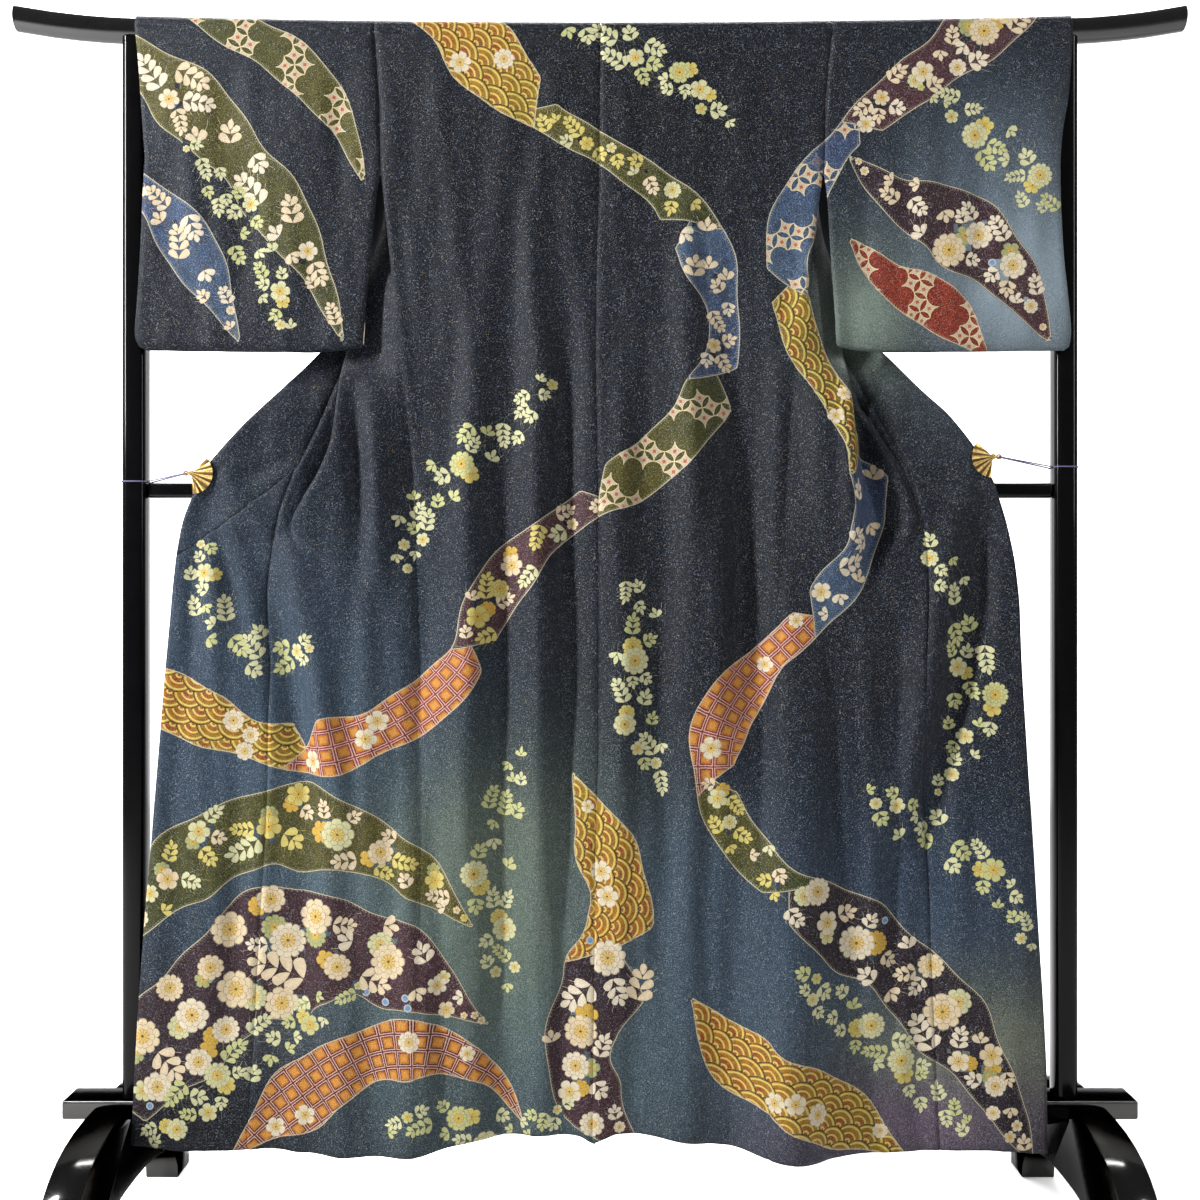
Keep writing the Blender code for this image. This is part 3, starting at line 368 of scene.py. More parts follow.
# Heights of the rows of the body and the overlap panels, as if the hem were level.
LEVELS = (
    0.135, 0.20, 0.27, 0.34, 0.41, 0.48, 0.55, 0.62, 0.69, 0.76, 0.83, 0.89, 0.945, 0.99,
    1.03, 1.07, 1.11, 1.15, 1.19, 1.225, 1.255, 1.285, 1.32, 1.355, 1.39, 1.43, 1.47,
    1.51, 1.555, 1.60, 1.65, 1.70, 1.752,
)
LEVEL_HEM = 0.135
SIDE_SEAM_TOP = 24       # row where the side seam ends and the side opening starts
BACK_COLUMNS = 15
NECK_COLUMN = 4          # columns inside this one end at the neckline
OKUMI_ROW = 16           # row where the collar takes over from the overlap panel
ARMHOLE_ROW = 28         # row where the sleeve's seam to the body ends

# Seams, each at a height: centre back, then for either side the side seam, the seam that
# joins the front to the overlap panel, and the outer edge. Outward is positive.
SEAM_Z = (1.763, 1.66, 1.55, 1.42, 1.335, 1.29, 1.227, 1.15, 1.085, 1.035, 0.985, 0.93,
          0.83, 0.70, 0.595, 0.48, 0.35, 0.25, 0.12)
CENTRE = (0.001, 0.0, -0.001, -0.005, -0.006, -0.006, -0.005, -0.004, -0.003, -0.003,
          -0.003, -0.003, -0.003, -0.003, -0.007, -0.008, -0.0085, -0.010, -0.0115)
SIDE_SEAM = {
    "left": (0.3284, 0.320, 0.317, 0.303, 0.294, 0.290, 0.2835, 0.275, 0.270, 0.2685,
             0.267, 0.265, 0.260, 0.2585, 0.2580, 0.2575, 0.257, 0.257, 0.2575),
    "right": (0.3380, 0.327, 0.3235, 0.304, 0.293, 0.287, 0.2765, 0.270, 0.2665, 0.264,
              0.262, 0.259, 0.2560, 0.2490, 0.2440, 0.2420, 0.240, 0.238, 0.2350),
}
FRONT_SEAM = {
    "left": (0.0, 0.0, 0.0, 0.0, 0.0, 0.0, 0.392, 0.424, 0.4525, 0.467, 0.476, 0.4835,
             0.4765, 0.477, 0.479, 0.487, 0.494, 0.500, 0.508),
    "right": (0.0, 0.0, 0.0, 0.0, 0.0, 0.0, 0.388, 0.425, 0.459, 0.4645, 0.472, 0.4700,
              0.4655, 0.468, 0.470, 0.475, 0.479, 0.483, 0.489),
}
OUTER_EDGE = {
    "left": (0.0, 0.0, 0.0, 0.0, 0.0, 0.0, 0.0, 0.542, 0.585, 0.602, 0.610, 0.615,
             0.623, 0.633, 0.641, 0.652, 0.662, 0.668, 0.674),
    "right": (0.0, 0.0, 0.0, 0.0, 0.0, 0.0, 0.0, 0.540, 0.573, 0.587, 0.597, 0.603,
              0.606, 0.613, 0.620, 0.627, 0.636, 0.640, 0.641),
}
# Height of the hem along the width (signed, the left of a viewer is negative).
HEM_X = (-0.674, -0.60, -0.47, -0.36, -0.262, -0.18, -0.10, -0.030, -0.0085, 0.014, 0.06,
         0.14, 0.24, 0.31, 0.45, 0.56, 0.641)
HEM_Z = (0.146, 0.140, 0.139, 0.134, 0.140, 0.155, 0.163, 0.163, 0.150, 0.163, 0.163,
         0.152, 0.142, 0.136, 0.136, 0.142, 0.134)
# Depth of the hanging cloth, then its folds: a row gives where a fold runs (x at three
# heights, signed), how far it comes forward at top and bottom, and its half width.
BASE_Z = (1.76, 1.70, 1.545, 1.40, 1.25, 1.10, 0.80, 0.40, 0.10)
BASE_Y = (-0.0205, -0.0235, -0.027, -0.030, -0.0345, -0.0375, -0.042, -0.0445, -0.0455)
FOLDS = (
    # x, z at top   x, z in the middle  x, z at the bottom  forward: top, bottom   width
    (-0.262, 0.95, -0.262, 0.50, -0.268, 0.12, 0.000, 0.036, 0.050),
    (-0.400, 0.95, -0.385, 0.50, -0.365, 0.12, 0.004, 0.018, 0.036),
    (-0.446, 0.80, -0.452, 0.50, -0.474, 0.12, -0.004, -0.009, 0.020),
    (-0.560, 0.88, -0.560, 0.50, -0.580, 0.12, 0.004, 0.010, 0.045),
    (-0.175, 1.25, -0.180, 0.70, -0.185, 0.12, 0.002, 0.010, 0.028),
    (-0.150, 1.10, -0.128, 0.60, -0.140, 0.12, -0.003, -0.008, 0.022),
    (-0.080, 1.25, -0.084, 0.70, -0.085, 0.12, 0.002, 0.011, 0.022),
    (-0.0075, 0.55, -0.0085, 0.30, -0.0115, 0.12, 0.000, 0.012, 0.034),
    (0.110, 1.25, 0.112, 0.70, 0.120, 0.12, 0.003, 0.016, 0.032),
    (0.200, 1.20, 0.215, 0.70, 0.190, 0.12, -0.004, -0.010, 0.026),
    (0.275, 0.95, 0.275, 0.50, 0.268, 0.12, 0.004, 0.062, 0.062),
    (0.536, 0.99, 0.470, 0.60, 0.460, 0.12, -0.010, -0.008, 0.022),
    (0.580, 0.88, 0.560, 0.50, 0.560, 0.12, 0.000, 0.012, 0.050),
)
FOLD_FADE = 0.12         # height over which a fold starts

# Sections of the front panels, from the side seam round the tuck to the inner seam, as
# outward and depth for each named column; the collar's free edge is the last pair.
SECTION_COLUMNS = (0, 2, 4, 5, 7, 8, 11)
SECTIONS = {
    "left": (
        # z     side             middle           ridge           tuck
        #       valley           behind           seam            collar edge
        (1.752, 0.3284, 0.0205, 0.285, 0.0205, 0.235, 0.0205, 0.205, 0.0205,
         0.170, 0.0205, 0.130, 0.0205, 0.0876, 0.0205, 0.060, 0.0230),
        (1.70, 0.3240, 0.0235, 0.290, 0.0260, 0.250, 0.030, 0.222, 0.032,
         0.190, 0.033, 0.150, 0.032, 0.111, 0.030, 0.084, 0.030),
        (1.62, 0.3185, 0.0245, 0.305, 0.0340, 0.284, 0.044, 0.262, 0.050,
         0.232, 0.052, 0.200, 0.050, 0.172, 0.048, 0.137, 0.046),
        (1.545, 0.3170, 0.0250, 0.323, 0.0390, 0.318, 0.054, 0.300, 0.062,
         0.276, 0.062, 0.252, 0.058, 0.232, 0.056, 0.200, 0.062),
        (1.47, 0.3085, 0.0040, 0.326, 0.0180, 0.340, 0.034, 0.330, 0.045,
         0.302, 0.046, 0.281, 0.047, 0.270, 0.056, 0.260, 0.080),
        (1.40, 0.3010, -0.0180, 0.324, -0.0070, 0.347, 0.007, 0.338, 0.020,
         0.310, 0.026, 0.291, 0.032, 0.298, 0.046, 0.321, 0.063),
        (1.34, 0.2945, -0.0318, 0.322, -0.0140, 0.357, -0.001, 0.350, 0.010,
         0.325, 0.016, 0.316, 0.026, 0.338, 0.033, 0.371, 0.033),
        (1.283, 0.2893, -0.0336, 0.322, -0.0160, 0.372, -0.006, 0.364, 0.003,
         0.343, 0.008, 0.347, 0.016, 0.3715, 0.013, 0.420, 0.006),
        (1.25, 0.2860, -0.0345, 0.326, -0.0300, 0.3752, -0.030, 0.366, -0.008,
         0.352, 0.001, 0.362, 0.003, 0.384, -0.003, 0.449, -0.006),
        (1.17, 0.2770, -0.0364, 0.325, -0.0460, 0.382, -0.054, 0.376, -0.022,
         0.381, -0.011, 0.395, -0.016, 0.414, -0.022, 0.523, -0.0375),
        (1.10, 0.2710, -0.0375, 0.335, -0.0500, 0.406, -0.057, 0.404, -0.030,
         0.409, -0.021, 0.425, -0.027, 0.448, -0.034, 0.580, -0.0375),
        (1.05, 0.2690, -0.0383, 0.345, -0.0490, 0.433, -0.053, 0.434, -0.040,
         0.439, -0.031, 0.449, -0.034, 0.4640, -0.037, 0.597, -0.038),
        (1.00, 0.2670, -0.0390, 0.350, -0.0470, 0.440, -0.047, 0.448, -0.042,
         0.455, -0.038, 0.463, -0.039, 0.4740, -0.039, 0.610, -0.039),
    ),
    "right": (
        (1.752, 0.3370, 0.0205, 0.285, 0.0205, 0.235, 0.0205, 0.205, 0.0205,
         0.170, 0.0205, 0.130, 0.0205, 0.0899, 0.0205, 0.060, 0.0230),
        (1.70, 0.3300, 0.0235, 0.290, 0.0260, 0.250, 0.030, 0.222, 0.032,
         0.190, 0.033, 0.150, 0.032, 0.111, 0.030, 0.084, 0.030),
        (1.62, 0.3260, 0.0245, 0.305, 0.0340, 0.284, 0.044, 0.262, 0.050,
         0.232, 0.052, 0.200, 0.050, 0.172, 0.048, 0.137, 0.046),
        (1.545, 0.3230, 0.0250, 0.325, 0.0390, 0.320, 0.054, 0.300, 0.062,
         0.276, 0.062, 0.252, 0.058, 0.232, 0.056, 0.200, 0.062),
        (1.47, 0.3100, 0.0040, 0.326, 0.0180, 0.338, 0.034, 0.328, 0.045,
         0.302, 0.046, 0.281, 0.047, 0.270, 0.056, 0.260, 0.080),
        (1.40, 0.3010, -0.0180, 0.322, -0.0070, 0.341, 0.007, 0.333, 0.020,
         0.308, 0.026, 0.291, 0.032, 0.298, 0.046, 0.321, 0.063),
        (1.34, 0.2935, -0.0318, 0.318, -0.0140, 0.346, -0.001, 0.340, 0.010,
         0.320, 0.016, 0.313, 0.026, 0.336, 0.033, 0.372, 0.033),
        (1.283, 0.2855, -0.0336, 0.318, -0.0160, 0.3545, -0.006, 0.348, 0.003,
         0.333, 0.008, 0.336, 0.016, 0.3600, 0.013, 0.424, 0.006),
        (1.25, 0.2805, -0.0345, 0.320, -0.0300, 0.358, -0.032, 0.353, -0.010,
         0.349, -0.004, 0.360, 0.002, 0.3760, -0.004, 0.453, -0.006),
        (1.17, 0.2715, -0.0364, 0.318, -0.0460, 0.3625, -0.054, 0.374, -0.020,
         0.393, -0.034, 0.4035, -0.021, 0.4160, -0.025, 0.523, -0.0375),
        (1.10, 0.2675, -0.0375, 0.316, -0.0500, 0.364, -0.057, 0.392, -0.021,
         0.427, -0.040, 0.4425, -0.031, 0.4525, -0.034, 0.566, -0.0375),
        (1.05, 0.2650, -0.0383, 0.317, -0.0490, 0.3715, -0.056, 0.403, -0.024,
         0.446, -0.044, 0.4550, -0.036, 0.4620, -0.038, 0.583, -0.038),
        (1.00, 0.2625, -0.0390, 0.319, -0.0470, 0.3775, -0.054, 0.405, -0.028,
         0.443, -0.045, 0.4600, -0.041, 0.4700, -0.040, 0.595, -0.039),
    ),
}
SECTION_END = 0.95       # under this the front hangs like the rest of the cloth
SECTION_BLEND = 1.03     # and from here it goes over to that

# The collar: its lower end, and the rows round the neck.
ERISAKI_Z = 0.990        # where the outer edge of the overlap panel ends
NECK_ROWS = (
    # x      seam height  edge x  edge height  edge depth
    (0.000, 1.7515, 0.000, 1.694, 0.0245),
    (0.045, 1.7515, 0.040, 1.694, 0.0245),
    (0.0860, 1.7515, 0.066, 1.695, 0.0255),
)
NECK_TURN = (
    # row of the body  edge x  edge height  edge depth
    (31, 0.092, 1.672, 0.0310),
    (30, 0.118, 1.640, 0.0410),
)
COLLAR_TAPER = 5         # rows of the pointed end
COLLAR_POINT = 0.90      # share of the slanting seam that the pointed end covers

# Sleeves: outline at heights, outward positive.
SLEEVE_Z = (1.776, 1.70, 1.65, 1.60, 1.56, 1.517, 1.43, 1.355, 1.315, 1.302, 1.294, 1.288)
SLEEVE_INNER = {
    "left": (0.3290, 0.3245, 0.3197, 0.3185, 0.3180, 0.3235, 0.331, 0.338, 0.341, 0.342,
             0.342, 0.342),
    "right": (0.3386, 0.3313, 0.3267, 0.3255, 0.3245, 0.3285, 0.333, 0.338, 0.341, 0.342,
              0.343, 0.343),
}
SLEEVE_OUTER = {
    "left": (0.6770, 0.669, 0.665, 0.6610, 0.6575, 0.659, 0.662, 0.666, 0.669, 0.667,
             0.662, 0.652),
    "right": (0.6870, 0.683, 0.678, 0.669, 0.6655, 0.664, 0.667, 0.674, 0.677, 0.676,
              0.674, 0.668),
}
SLEEVE_FRONT_OUTER = {
    "left": (0.6770, 0.668, 0.6560, 0.6530, 0.6525, 0.655, 0.660, 0.665, 0.668, 0.666,
             0.661, 0.651),
    "right": (0.6870, 0.672, 0.6560, 0.6530, 0.6555, 0.660, 0.666, 0.673, 0.676, 0.675,
              0.673, 0.667),
}
SLEEVE_BACK_Y = (-0.0205, -0.0235, -0.0250, -0.0268, -0.0280, -0.0290, -0.0310, -0.0325,
                 -0.0330, -0.0330, -0.0330, -0.0330)
SLEEVE_FRONT_Y_INNER = (0.0205, 0.0235, 0.0245, 0.0250, 0.0250, 0.0200, -0.0030, -0.0180,
                        -0.0230, -0.0235, -0.0240, -0.0240)
SLEEVE_FRONT_Y_OUTER = (0.0205, 0.0235, 0.0240, 0.0040, -0.0215, -0.0222, -0.0225,
                        -0.0230, -0.0235, -0.0238, -0.0240, -0.0240)
SLEEVE_BOTTOM_U = (0.0, 0.16, 0.6, 1.0)
SLEEVE_BOTTOM_Z = (1.294, 1.286, 1.287, 1.289)
SLEEVE_LEVELS = (1.294, 1.303, 1.318, 1.345, 1.38, 1.42, 1.465, 1.51)
CUFF_LEVEL = 8           # the row after these, where the cuff opening and armhole begin
SLEEVE_COLUMNS = 9
FAR_EDGE_BACK = 0.0035   # how far the sleeve's far layer keeps back at the open edge
FAR_EDGE_IN = 0.0095     # and how far it reaches in again under the armhole
EDGE_ROUND = 0.003       # how far a folded edge stands out past its two layers
CLIP_MIDDLE_Y = -0.0375  # middle of the collar in the clips

# Depth added to the hanging cloth by smaller creases: a soft line from one point to
# another (signed x, z), how far it stands towards the view (a trough is negative), and
# its half width.
CREASES = (
    # from            to               stands out  half width
    (-0.095, 1.60, -0.087, 0.40, 0.0121, 0.022),
    (-0.048, 1.42, -0.045, 0.45, -0.0155, 0.018),
    (0.024, 1.30, 0.030, 0.22, 0.0121, 0.026),
    (0.087, 1.22, 0.102, 0.24, -0.0162, 0.024),
    (0.118, 1.52, 0.166, 0.62, 0.0182, 0.026),
    (0.186, 1.46, 0.236, 0.55, -0.0203, 0.028),
    (0.300, 1.52, 0.330, 0.90, 0.0121, 0.028),
    (0.350, 1.28, 0.370, 0.94, 0.0108, 0.016),
    (0.376, 1.26, 0.394, 0.91, -0.0200, 0.017),
    (0.524, 1.10, 0.418, 0.55, 0.0189, 0.024),
    (0.572, 1.09, 0.466, 0.55, -0.0203, 0.024),
    (-0.150, 1.20, -0.150, 0.30, -0.0135, 0.020),
    (-0.190, 1.45, -0.196, 0.40, 0.0135, 0.024),
    (-0.262, 1.22, -0.250, 0.40, -0.0149, 0.022),
    (-0.330, 1.26, -0.318, 0.93, 0.0121, 0.018),
    (-0.352, 1.25, -0.344, 0.95, -0.0162, 0.016),
    (-0.500, 1.04, -0.400, 0.60, -0.0149, 0.024),
    (-0.455, 1.02, -0.352, 0.55, 0.0135, 0.024),
    (-0.232, 1.74, -0.205, 1.36, 0.0017, 0.017),
    (-0.205, 1.40, -0.214, 0.98, -0.0033, 0.015),
    (-0.165, 1.55, -0.158, 0.90, 0.0039, 0.018),
    (-0.118, 1.60, -0.132, 0.72, -0.0045, 0.016),
    (-0.060, 1.42, -0.066, 0.62, -0.0036, 0.014),
    (0.030, 1.50, 0.038, 0.66, 0.0024, 0.014),
    (0.066, 1.62, 0.062, 0.80, -0.0021, 0.012),
    (0.148, 1.58, 0.150, 0.62, -0.0050, 0.015),
    (0.176, 1.30, 0.172, 0.50, 0.0033, 0.013),
    (0.232, 1.50, 0.222, 0.86, -0.0045, 0.016),
    (0.298, 1.54, 0.262, 1.28, -0.0036, 0.014),
    (-0.300, 1.54, -0.264, 1.24, -0.0033, 0.014),
    (0.262, 1.30, 0.246, 1.00, 0.0033, 0.012),
    (-0.268, 1.24, -0.240, 0.92, 0.0027, 0.014),
    (-0.572, 1.09, -0.505, 0.86, -0.0096, 0.014),
    (-0.560, 1.06, -0.545, 0.72, 0.0071, 0.014),
    (-0.578, 1.08, -0.590, 0.76, -0.0047, 0.012),
    (-0.548, 1.11, -0.470, 1.02, 0.0064, 0.013),
    (-0.530, 1.10, -0.430, 1.14, -0.0042, 0.011),
    (0.552, 1.12, 0.500, 0.86, -0.0076, 0.014),
    (0.556, 1.09, 0.560, 0.74, -0.0055, 0.012),
    (0.530, 1.14, 0.440, 1.12, 0.0047, 0.011),
    (0.545, 1.10, 0.520, 0.80, 0.0064, 0.014),
    (-0.620, 0.90, -0.640, 0.30, 0.0064, 0.016),
    (-0.520, 0.72, -0.530, 0.20, -0.0059, 0.016),
    (-0.420, 0.88, -0.424, 0.30, -0.0090, 0.016),
    (-0.340, 0.95, -0.330, 0.40, 0.0071, 0.014),
    (-0.298, 0.86, -0.292, 0.24, -0.0062, 0.015),
    (-0.236, 0.70, -0.226, 0.22, -0.0045, 0.013),
    (-0.052, 0.66, -0.056, 0.20, -0.0033, 0.012),
    (0.052, 0.66, 0.046, 0.20, -0.0039, 0.014),
    (0.150, 0.70, 0.158, 0.20, -0.0045, 0.014),
    (0.238, 0.98, 0.232, 0.44, -0.0089, 0.011),
    (0.330, 0.92, 0.340, 0.30, -0.0078, 0.016),
    (0.384, 0.94, 0.392, 0.26, 0.0071, 0.014),
    (0.432, 0.90, 0.420, 0.24, -0.0090, 0.012),
    (0.508, 0.84, 0.520, 0.24, 0.0055, 0.016),
    (0.600, 0.80, 0.606, 0.30, 0.0047, 0.014),
    (-0.640, 1.72, -0.560, 1.34, 0.0034, 0.020),
    (-0.540, 1.70, -0.500, 1.36, -0.0038, 0.020),
    (-0.440, 1.72, -0.450, 1.34, 0.0038, 0.018),
    (-0.372, 1.70, -0.386, 1.32, -0.0038, 0.016),
    (0.380, 1.70, 0.392, 1.32, -0.0038, 0.016),
    (0.460, 1.72, 0.476, 1.34, 0.0038, 0.020),
    (0.560, 1.70, 0.548, 1.34, -0.0042, 0.018),
    (0.640, 1.70, 0.620, 1.36, 0.0038, 0.018),
)
BACK_STOP = -0.0145      # the middle rail keeps the cloth from hanging further back
RIPPLES = (
    # waves across, waves down (per metre), start of the wave, height
    (11.3, 1.1, 0.4, 0.00090),
    (17.9, -2.3, 1.9, 0.00065),
    (29.7, 4.1, 3.1, 0.00036),
)
SEAM_DIP = 0.0026        # how far the cloth turns in at a sewn edge
SEAM_DIP_WIDE = 0.0038
PUCKER = 0.00028         # small waves that the stitches draw beside a seam
PUCKER_PITCH = 0.019


def along(z, heights, values):
    """The value at each z of a smooth curve through a table with falling heights: on each
    stretch a cubic whose end slopes are the harmonic mean of the neighbouring rises."""
    x = np.asarray(heights, float)[::-1]
    v = np.asarray(values, float)[::-1]
    steps = np.diff(x)
    rise = np.diff(v) / steps
    same = rise[:-1] * rise[1:] > 0
    mean = 2 * rise[:-1] * rise[1:] / np.where(same, rise[:-1] + rise[1:], 1.0)
    slope = np.concatenate([rise[:1], np.where(same, mean, 0.0), rise[-1:]])
    z = np.clip(z, x[0], x[-1])
    i = np.clip(np.searchsorted(x, z) - 1, 0, len(steps) - 1)
    t = (z - x[i]) / steps[i]
    low = v[i] + steps[i] * t * (1 - t) * (slope[i] * (1 - t) - slope[i + 1] * t)
    return low + (v[i + 1] - v[i]) * t * t * (3 - 2 * t)


def smooth(t):
    """0 to 1 as t goes from 0 to 1, level at both ends: 3 t squared less 2 t cubed."""
    t = np.clip(t, 0.0, 1.0)
    return t * t * (3 - 2 * t)


def through(points, places):
    """A cubic through a row of points, read at fractional places in the row: the slope at
    each point is half the step between its neighbours."""
    ends = [2 * points[:1] - points[1:2], points, 2 * points[-1:] - points[-2:-1]]
    padded = np.concatenate(ends)
    i = np.clip(places.astype(int), 0, len(points) - 2)
    t = (places - i).reshape(-1, *[1] * (points.ndim - 1))
    a, b, c, d = (padded[i + n] for n in range(4))
    return b + t / 2 * (c - a + t * (2 * a - 5 * b + 4 * c - d + t * (3 * (b - c) + d - a)))


def places(counts):
    """Fractional places that cut each stretch of a row into its count of equal parts."""
    cut = [i + np.arange(n) / n for i, n in enumerate(counts)]
    return np.concatenate([*cut, [len(counts)]])


def refined(grid, rows, columns):
    """A coarse grid of points read at fractional rows, then at fractional columns."""
    grid = through(grid, rows)
    return through(grid.swapaxes(0, 1), columns).swapaxes(0, 1)


def rod_height(x):
    """The rod's line: a slight bow, and a steeper rise past the posts."""
    out = np.maximum(np.abs(x) - ROD_UPTURN_X, 0.0)
    return ROD_CENTRE_Z + ROD_BOW * x * x + ROD_UPTURN * out * out


def sheet_depth(x, z):
    """Depth of the hanging cloth: the base depth, less for each fold its forward push times
    a bell curve across the line that the fold runs on."""
    y = along(z, BASE_Z, BASE_Y)
    for xa, za, xb, zb, xc, zc, top, bottom, width in FOLDS:
        middle = np.interp(z, (zc, zb, za), (xc, xb, xa))
        down = np.clip((za - z) / (za - zc), 0.0, 1.0)
        push = (top + (bottom - top) * down) * smooth((za + FOLD_FADE - z) / FOLD_FADE)
        y = y - push * np.exp(-(((x - middle) / width) ** 2))
    return y


def creased(grid):
    """The grid with each crease's bell curve and the ripples taken off its depth. A crease
    rises and fades along its line as a sine arch, and all fade out at the rod. A trough
    levels off, as a hyperbolic tangent, where it nears the middle rail."""
    x, y, z = np.moveaxis(grid, -1, 0)
    push = np.zeros_like(x)
    for xa, za, xb, zb, height, half in CREASES:
        length = math.hypot(xb - xa, zb - za)
        s = ((x - xa) * (xb - xa) + (z - za) * (zb - za)) / length
        v = ((x - xa) * (zb - za) - (z - za) * (xb - xa)) / length
        wander = 0.14 * half * np.sin(s * 17.0 + xa * 40.0)
        arch = np.sin(math.pi * np.clip(s / length, 0.0, 1.0)) ** 0.7
        push += height * arch * np.exp(-(((v + wander) / half) ** 2))
    for across, down, start, height in RIPPLES:
        push += height * np.sin(2 * math.pi * (across * x + down * z) + start)
    room = np.maximum(BACK_STOP - y, 0.0005)
    push = np.where((push < 0) & (y < BACK_STOP), room * np.tanh(push / room), push)
    hung = smooth((ROD_CENTRE_Z - 0.01 - z) / 0.08)
    return np.stack([x, y - push * hung, z], axis=-1)


def facing(grid):
    """The unit normal at each point: the step along the columns crossed with the step
    along the rows."""
    normal = np.cross(np.gradient(grid, axis=1), np.gradient(grid, axis=0))
    size = np.linalg.norm(normal, axis=-1, keepdims=True)
    return normal / np.maximum(size, 1e-9)


def sewn(grid, out, first=False, last=False):
    """Turns the cloth in at its first or last column, as a sewn edge: a bell curve of the
    distance from the edge, along the inward normal, with small puckers beside it. out is
    1 or -1, for the side of the grid that faces outward."""
    move = np.zeros(grid.shape[:2])
    down = np.cumsum(np.linalg.norm(np.diff(grid, axis=0, prepend=grid[:1]), axis=-1), axis=0)
    for wanted, column in ((first, 0), (last, -1)):
        if not wanted:
            continue
        away = np.linalg.norm(grid - grid[:, column:][:, :1], axis=-1)
        bell = np.exp(-((away / SEAM_DIP_WIDE) ** 2))
        wave = np.sin(2 * math.pi * down / PUCKER_PITCH + 1.7 * np.sin(down * 31.0))
        fade = np.exp(-((away / 0.012) ** 2)) * (1 - bell)
        move -= SEAM_DIP * bell + PUCKER * wave * fade
    return grid + facing(grid) * (move * out)[..., None]


def seam_x(table, z):
    return np.interp(z, SEAM_Z[::-1], table[::-1])


def level_height(x, level):
    """Height of a row at signed x: the row's share of the way from the hem to the rod."""
    hem = np.interp(x, HEM_X, HEM_Z)
    share = (level - LEVEL_HEM) / (LEVELS[-1] - LEVEL_HEM)
    return hem + (rod_height(x) - hem) * share


def section(side, z):
    """Outward and depth, in turn, of the eight named columns of a front panel at z."""
    table = np.array(SECTIONS[side])
    return np.array([along(z, table[:, 0], table[:, c]) for c in range(1, 17)])


def front_place(side, columns, z):
    """Outward and depth of a front panel at its columns: the plain hanging cloth, which
    goes over to the folded section as z rises from SECTION_END to SECTION_BLEND."""
    share = columns / SECTION_COLUMNS[-1]
    start = seam_x(SIDE_SEAM[side], z)
    x = start + (seam_x(FRONT_SEAM[side], z) - start) * share
    y = sheet_depth(SIGN[side] * x, z)
    named = section(side, z)
    hats = np.array([np.interp(columns, SECTION_COLUMNS, row) for row in np.eye(7)])
    hats = hats.reshape(7, *[1] * (np.ndim(z) - 1), len(columns))
    full = smooth((z - SECTION_END) / (SECTION_BLEND - SECTION_END))
    x = x + ((named[0:14:2] * hats).sum(axis=0) - x) * full
    return x, y + ((named[1:14:2] * hats).sum(axis=0) - y) * full


def settled(place, sign, levels):
    """Points (x, y, z) of rows of a panel whose outward place depends on height, and whose
    height depends on place: both are worked out twice in turn."""
    z = levels[:, None] + np.zeros(1)
    for _ in range(2):
        x, y = place(z)
        z = level_height(sign * x, levels[:, None])
    return np.stack([sign * x, y, z], axis=-1)


LEVEL = np.array(LEVELS)
ROW_CUT = [max(1, round(step / 0.0066)) for step in np.diff(LEVEL)]
ROWS = places(ROW_CUT)
SIDE_TOP = sum(ROW_CUT[:SIDE_SEAM_TOP])      # fine row where the side opening starts
BACK_CUT = 4
FRONT_COLUMNS = BACK_COLUMNS - NECK_COLUMN
ARC = np.linspace(0.0, math.pi, 17)[:, None]


def over_rod(x):
    """Half a turn of cloth over the rod at the row of x, from the view's side to the far
    side: depth and height run round a circle."""
    level = 0 * x
    return np.stack([x + 0 * ARC, level - CLOTH_RADIUS * np.cos(ARC),
                     rod_height(x) + CLOTH_RADIUS * np.sin(ARC)], axis=-1)


def seam_line(side):
    """The front panel's inner seam, a point for each coarse row under the rod."""
    column = np.array([SECTION_COLUMNS[-1]])

    def place(z):
        return front_place(side, column, z)

    return settled(place, SIGN[side], LEVEL[:-1])[:, 0]


def body_patches(side):
    """The back, the turn over the rod and the front of one body length, as fine grids."""
    sign = SIGN[side]
    share = np.linspace(0.0, 1.0, BACK_COLUMNS + 1)

    def back_place(z):
        middle = sign * seam_x(CENTRE, z) + SEAM_GAP / 2
        x = middle + share * (seam_x(SIDE_SEAM[side], z) - middle)
        return x, sheet_depth(sign * x, z)

    back = settled(back_place, sign, LEVEL)
    back[-1, :, 1] = -CLOTH_RADIUS
    columns = np.arange(FRONT_COLUMNS + 1)

    def place(z):
        return front_place(side, columns, z)

    front = settled(place, sign, LEVEL[:-1])
    top = over_rod(back[-1, ::-1, 0])[-1][None, :FRONT_COLUMNS + 1]
    front = np.concatenate([front, top])
    back = refined(back, ROWS, places([BACK_CUT] * BACK_COLUMNS))
    front = refined(front, ROWS, places([BACK_CUT] * FRONT_COLUMNS))
    back = sewn(creased(back), sign, first=True, last=True)
    front = sewn(creased(front), sign, first=True, last=True)
    back[-1, :, 1] = -CLOTH_RADIUS
    arc = over_rod(back[-1, :, 0])
    front[:SIDE_TOP + 1, 0] = back[:SIDE_TOP + 1, -1]
    front[-1] = arc[-1, ::-1][:front.shape[1]]
    return back, arc, front


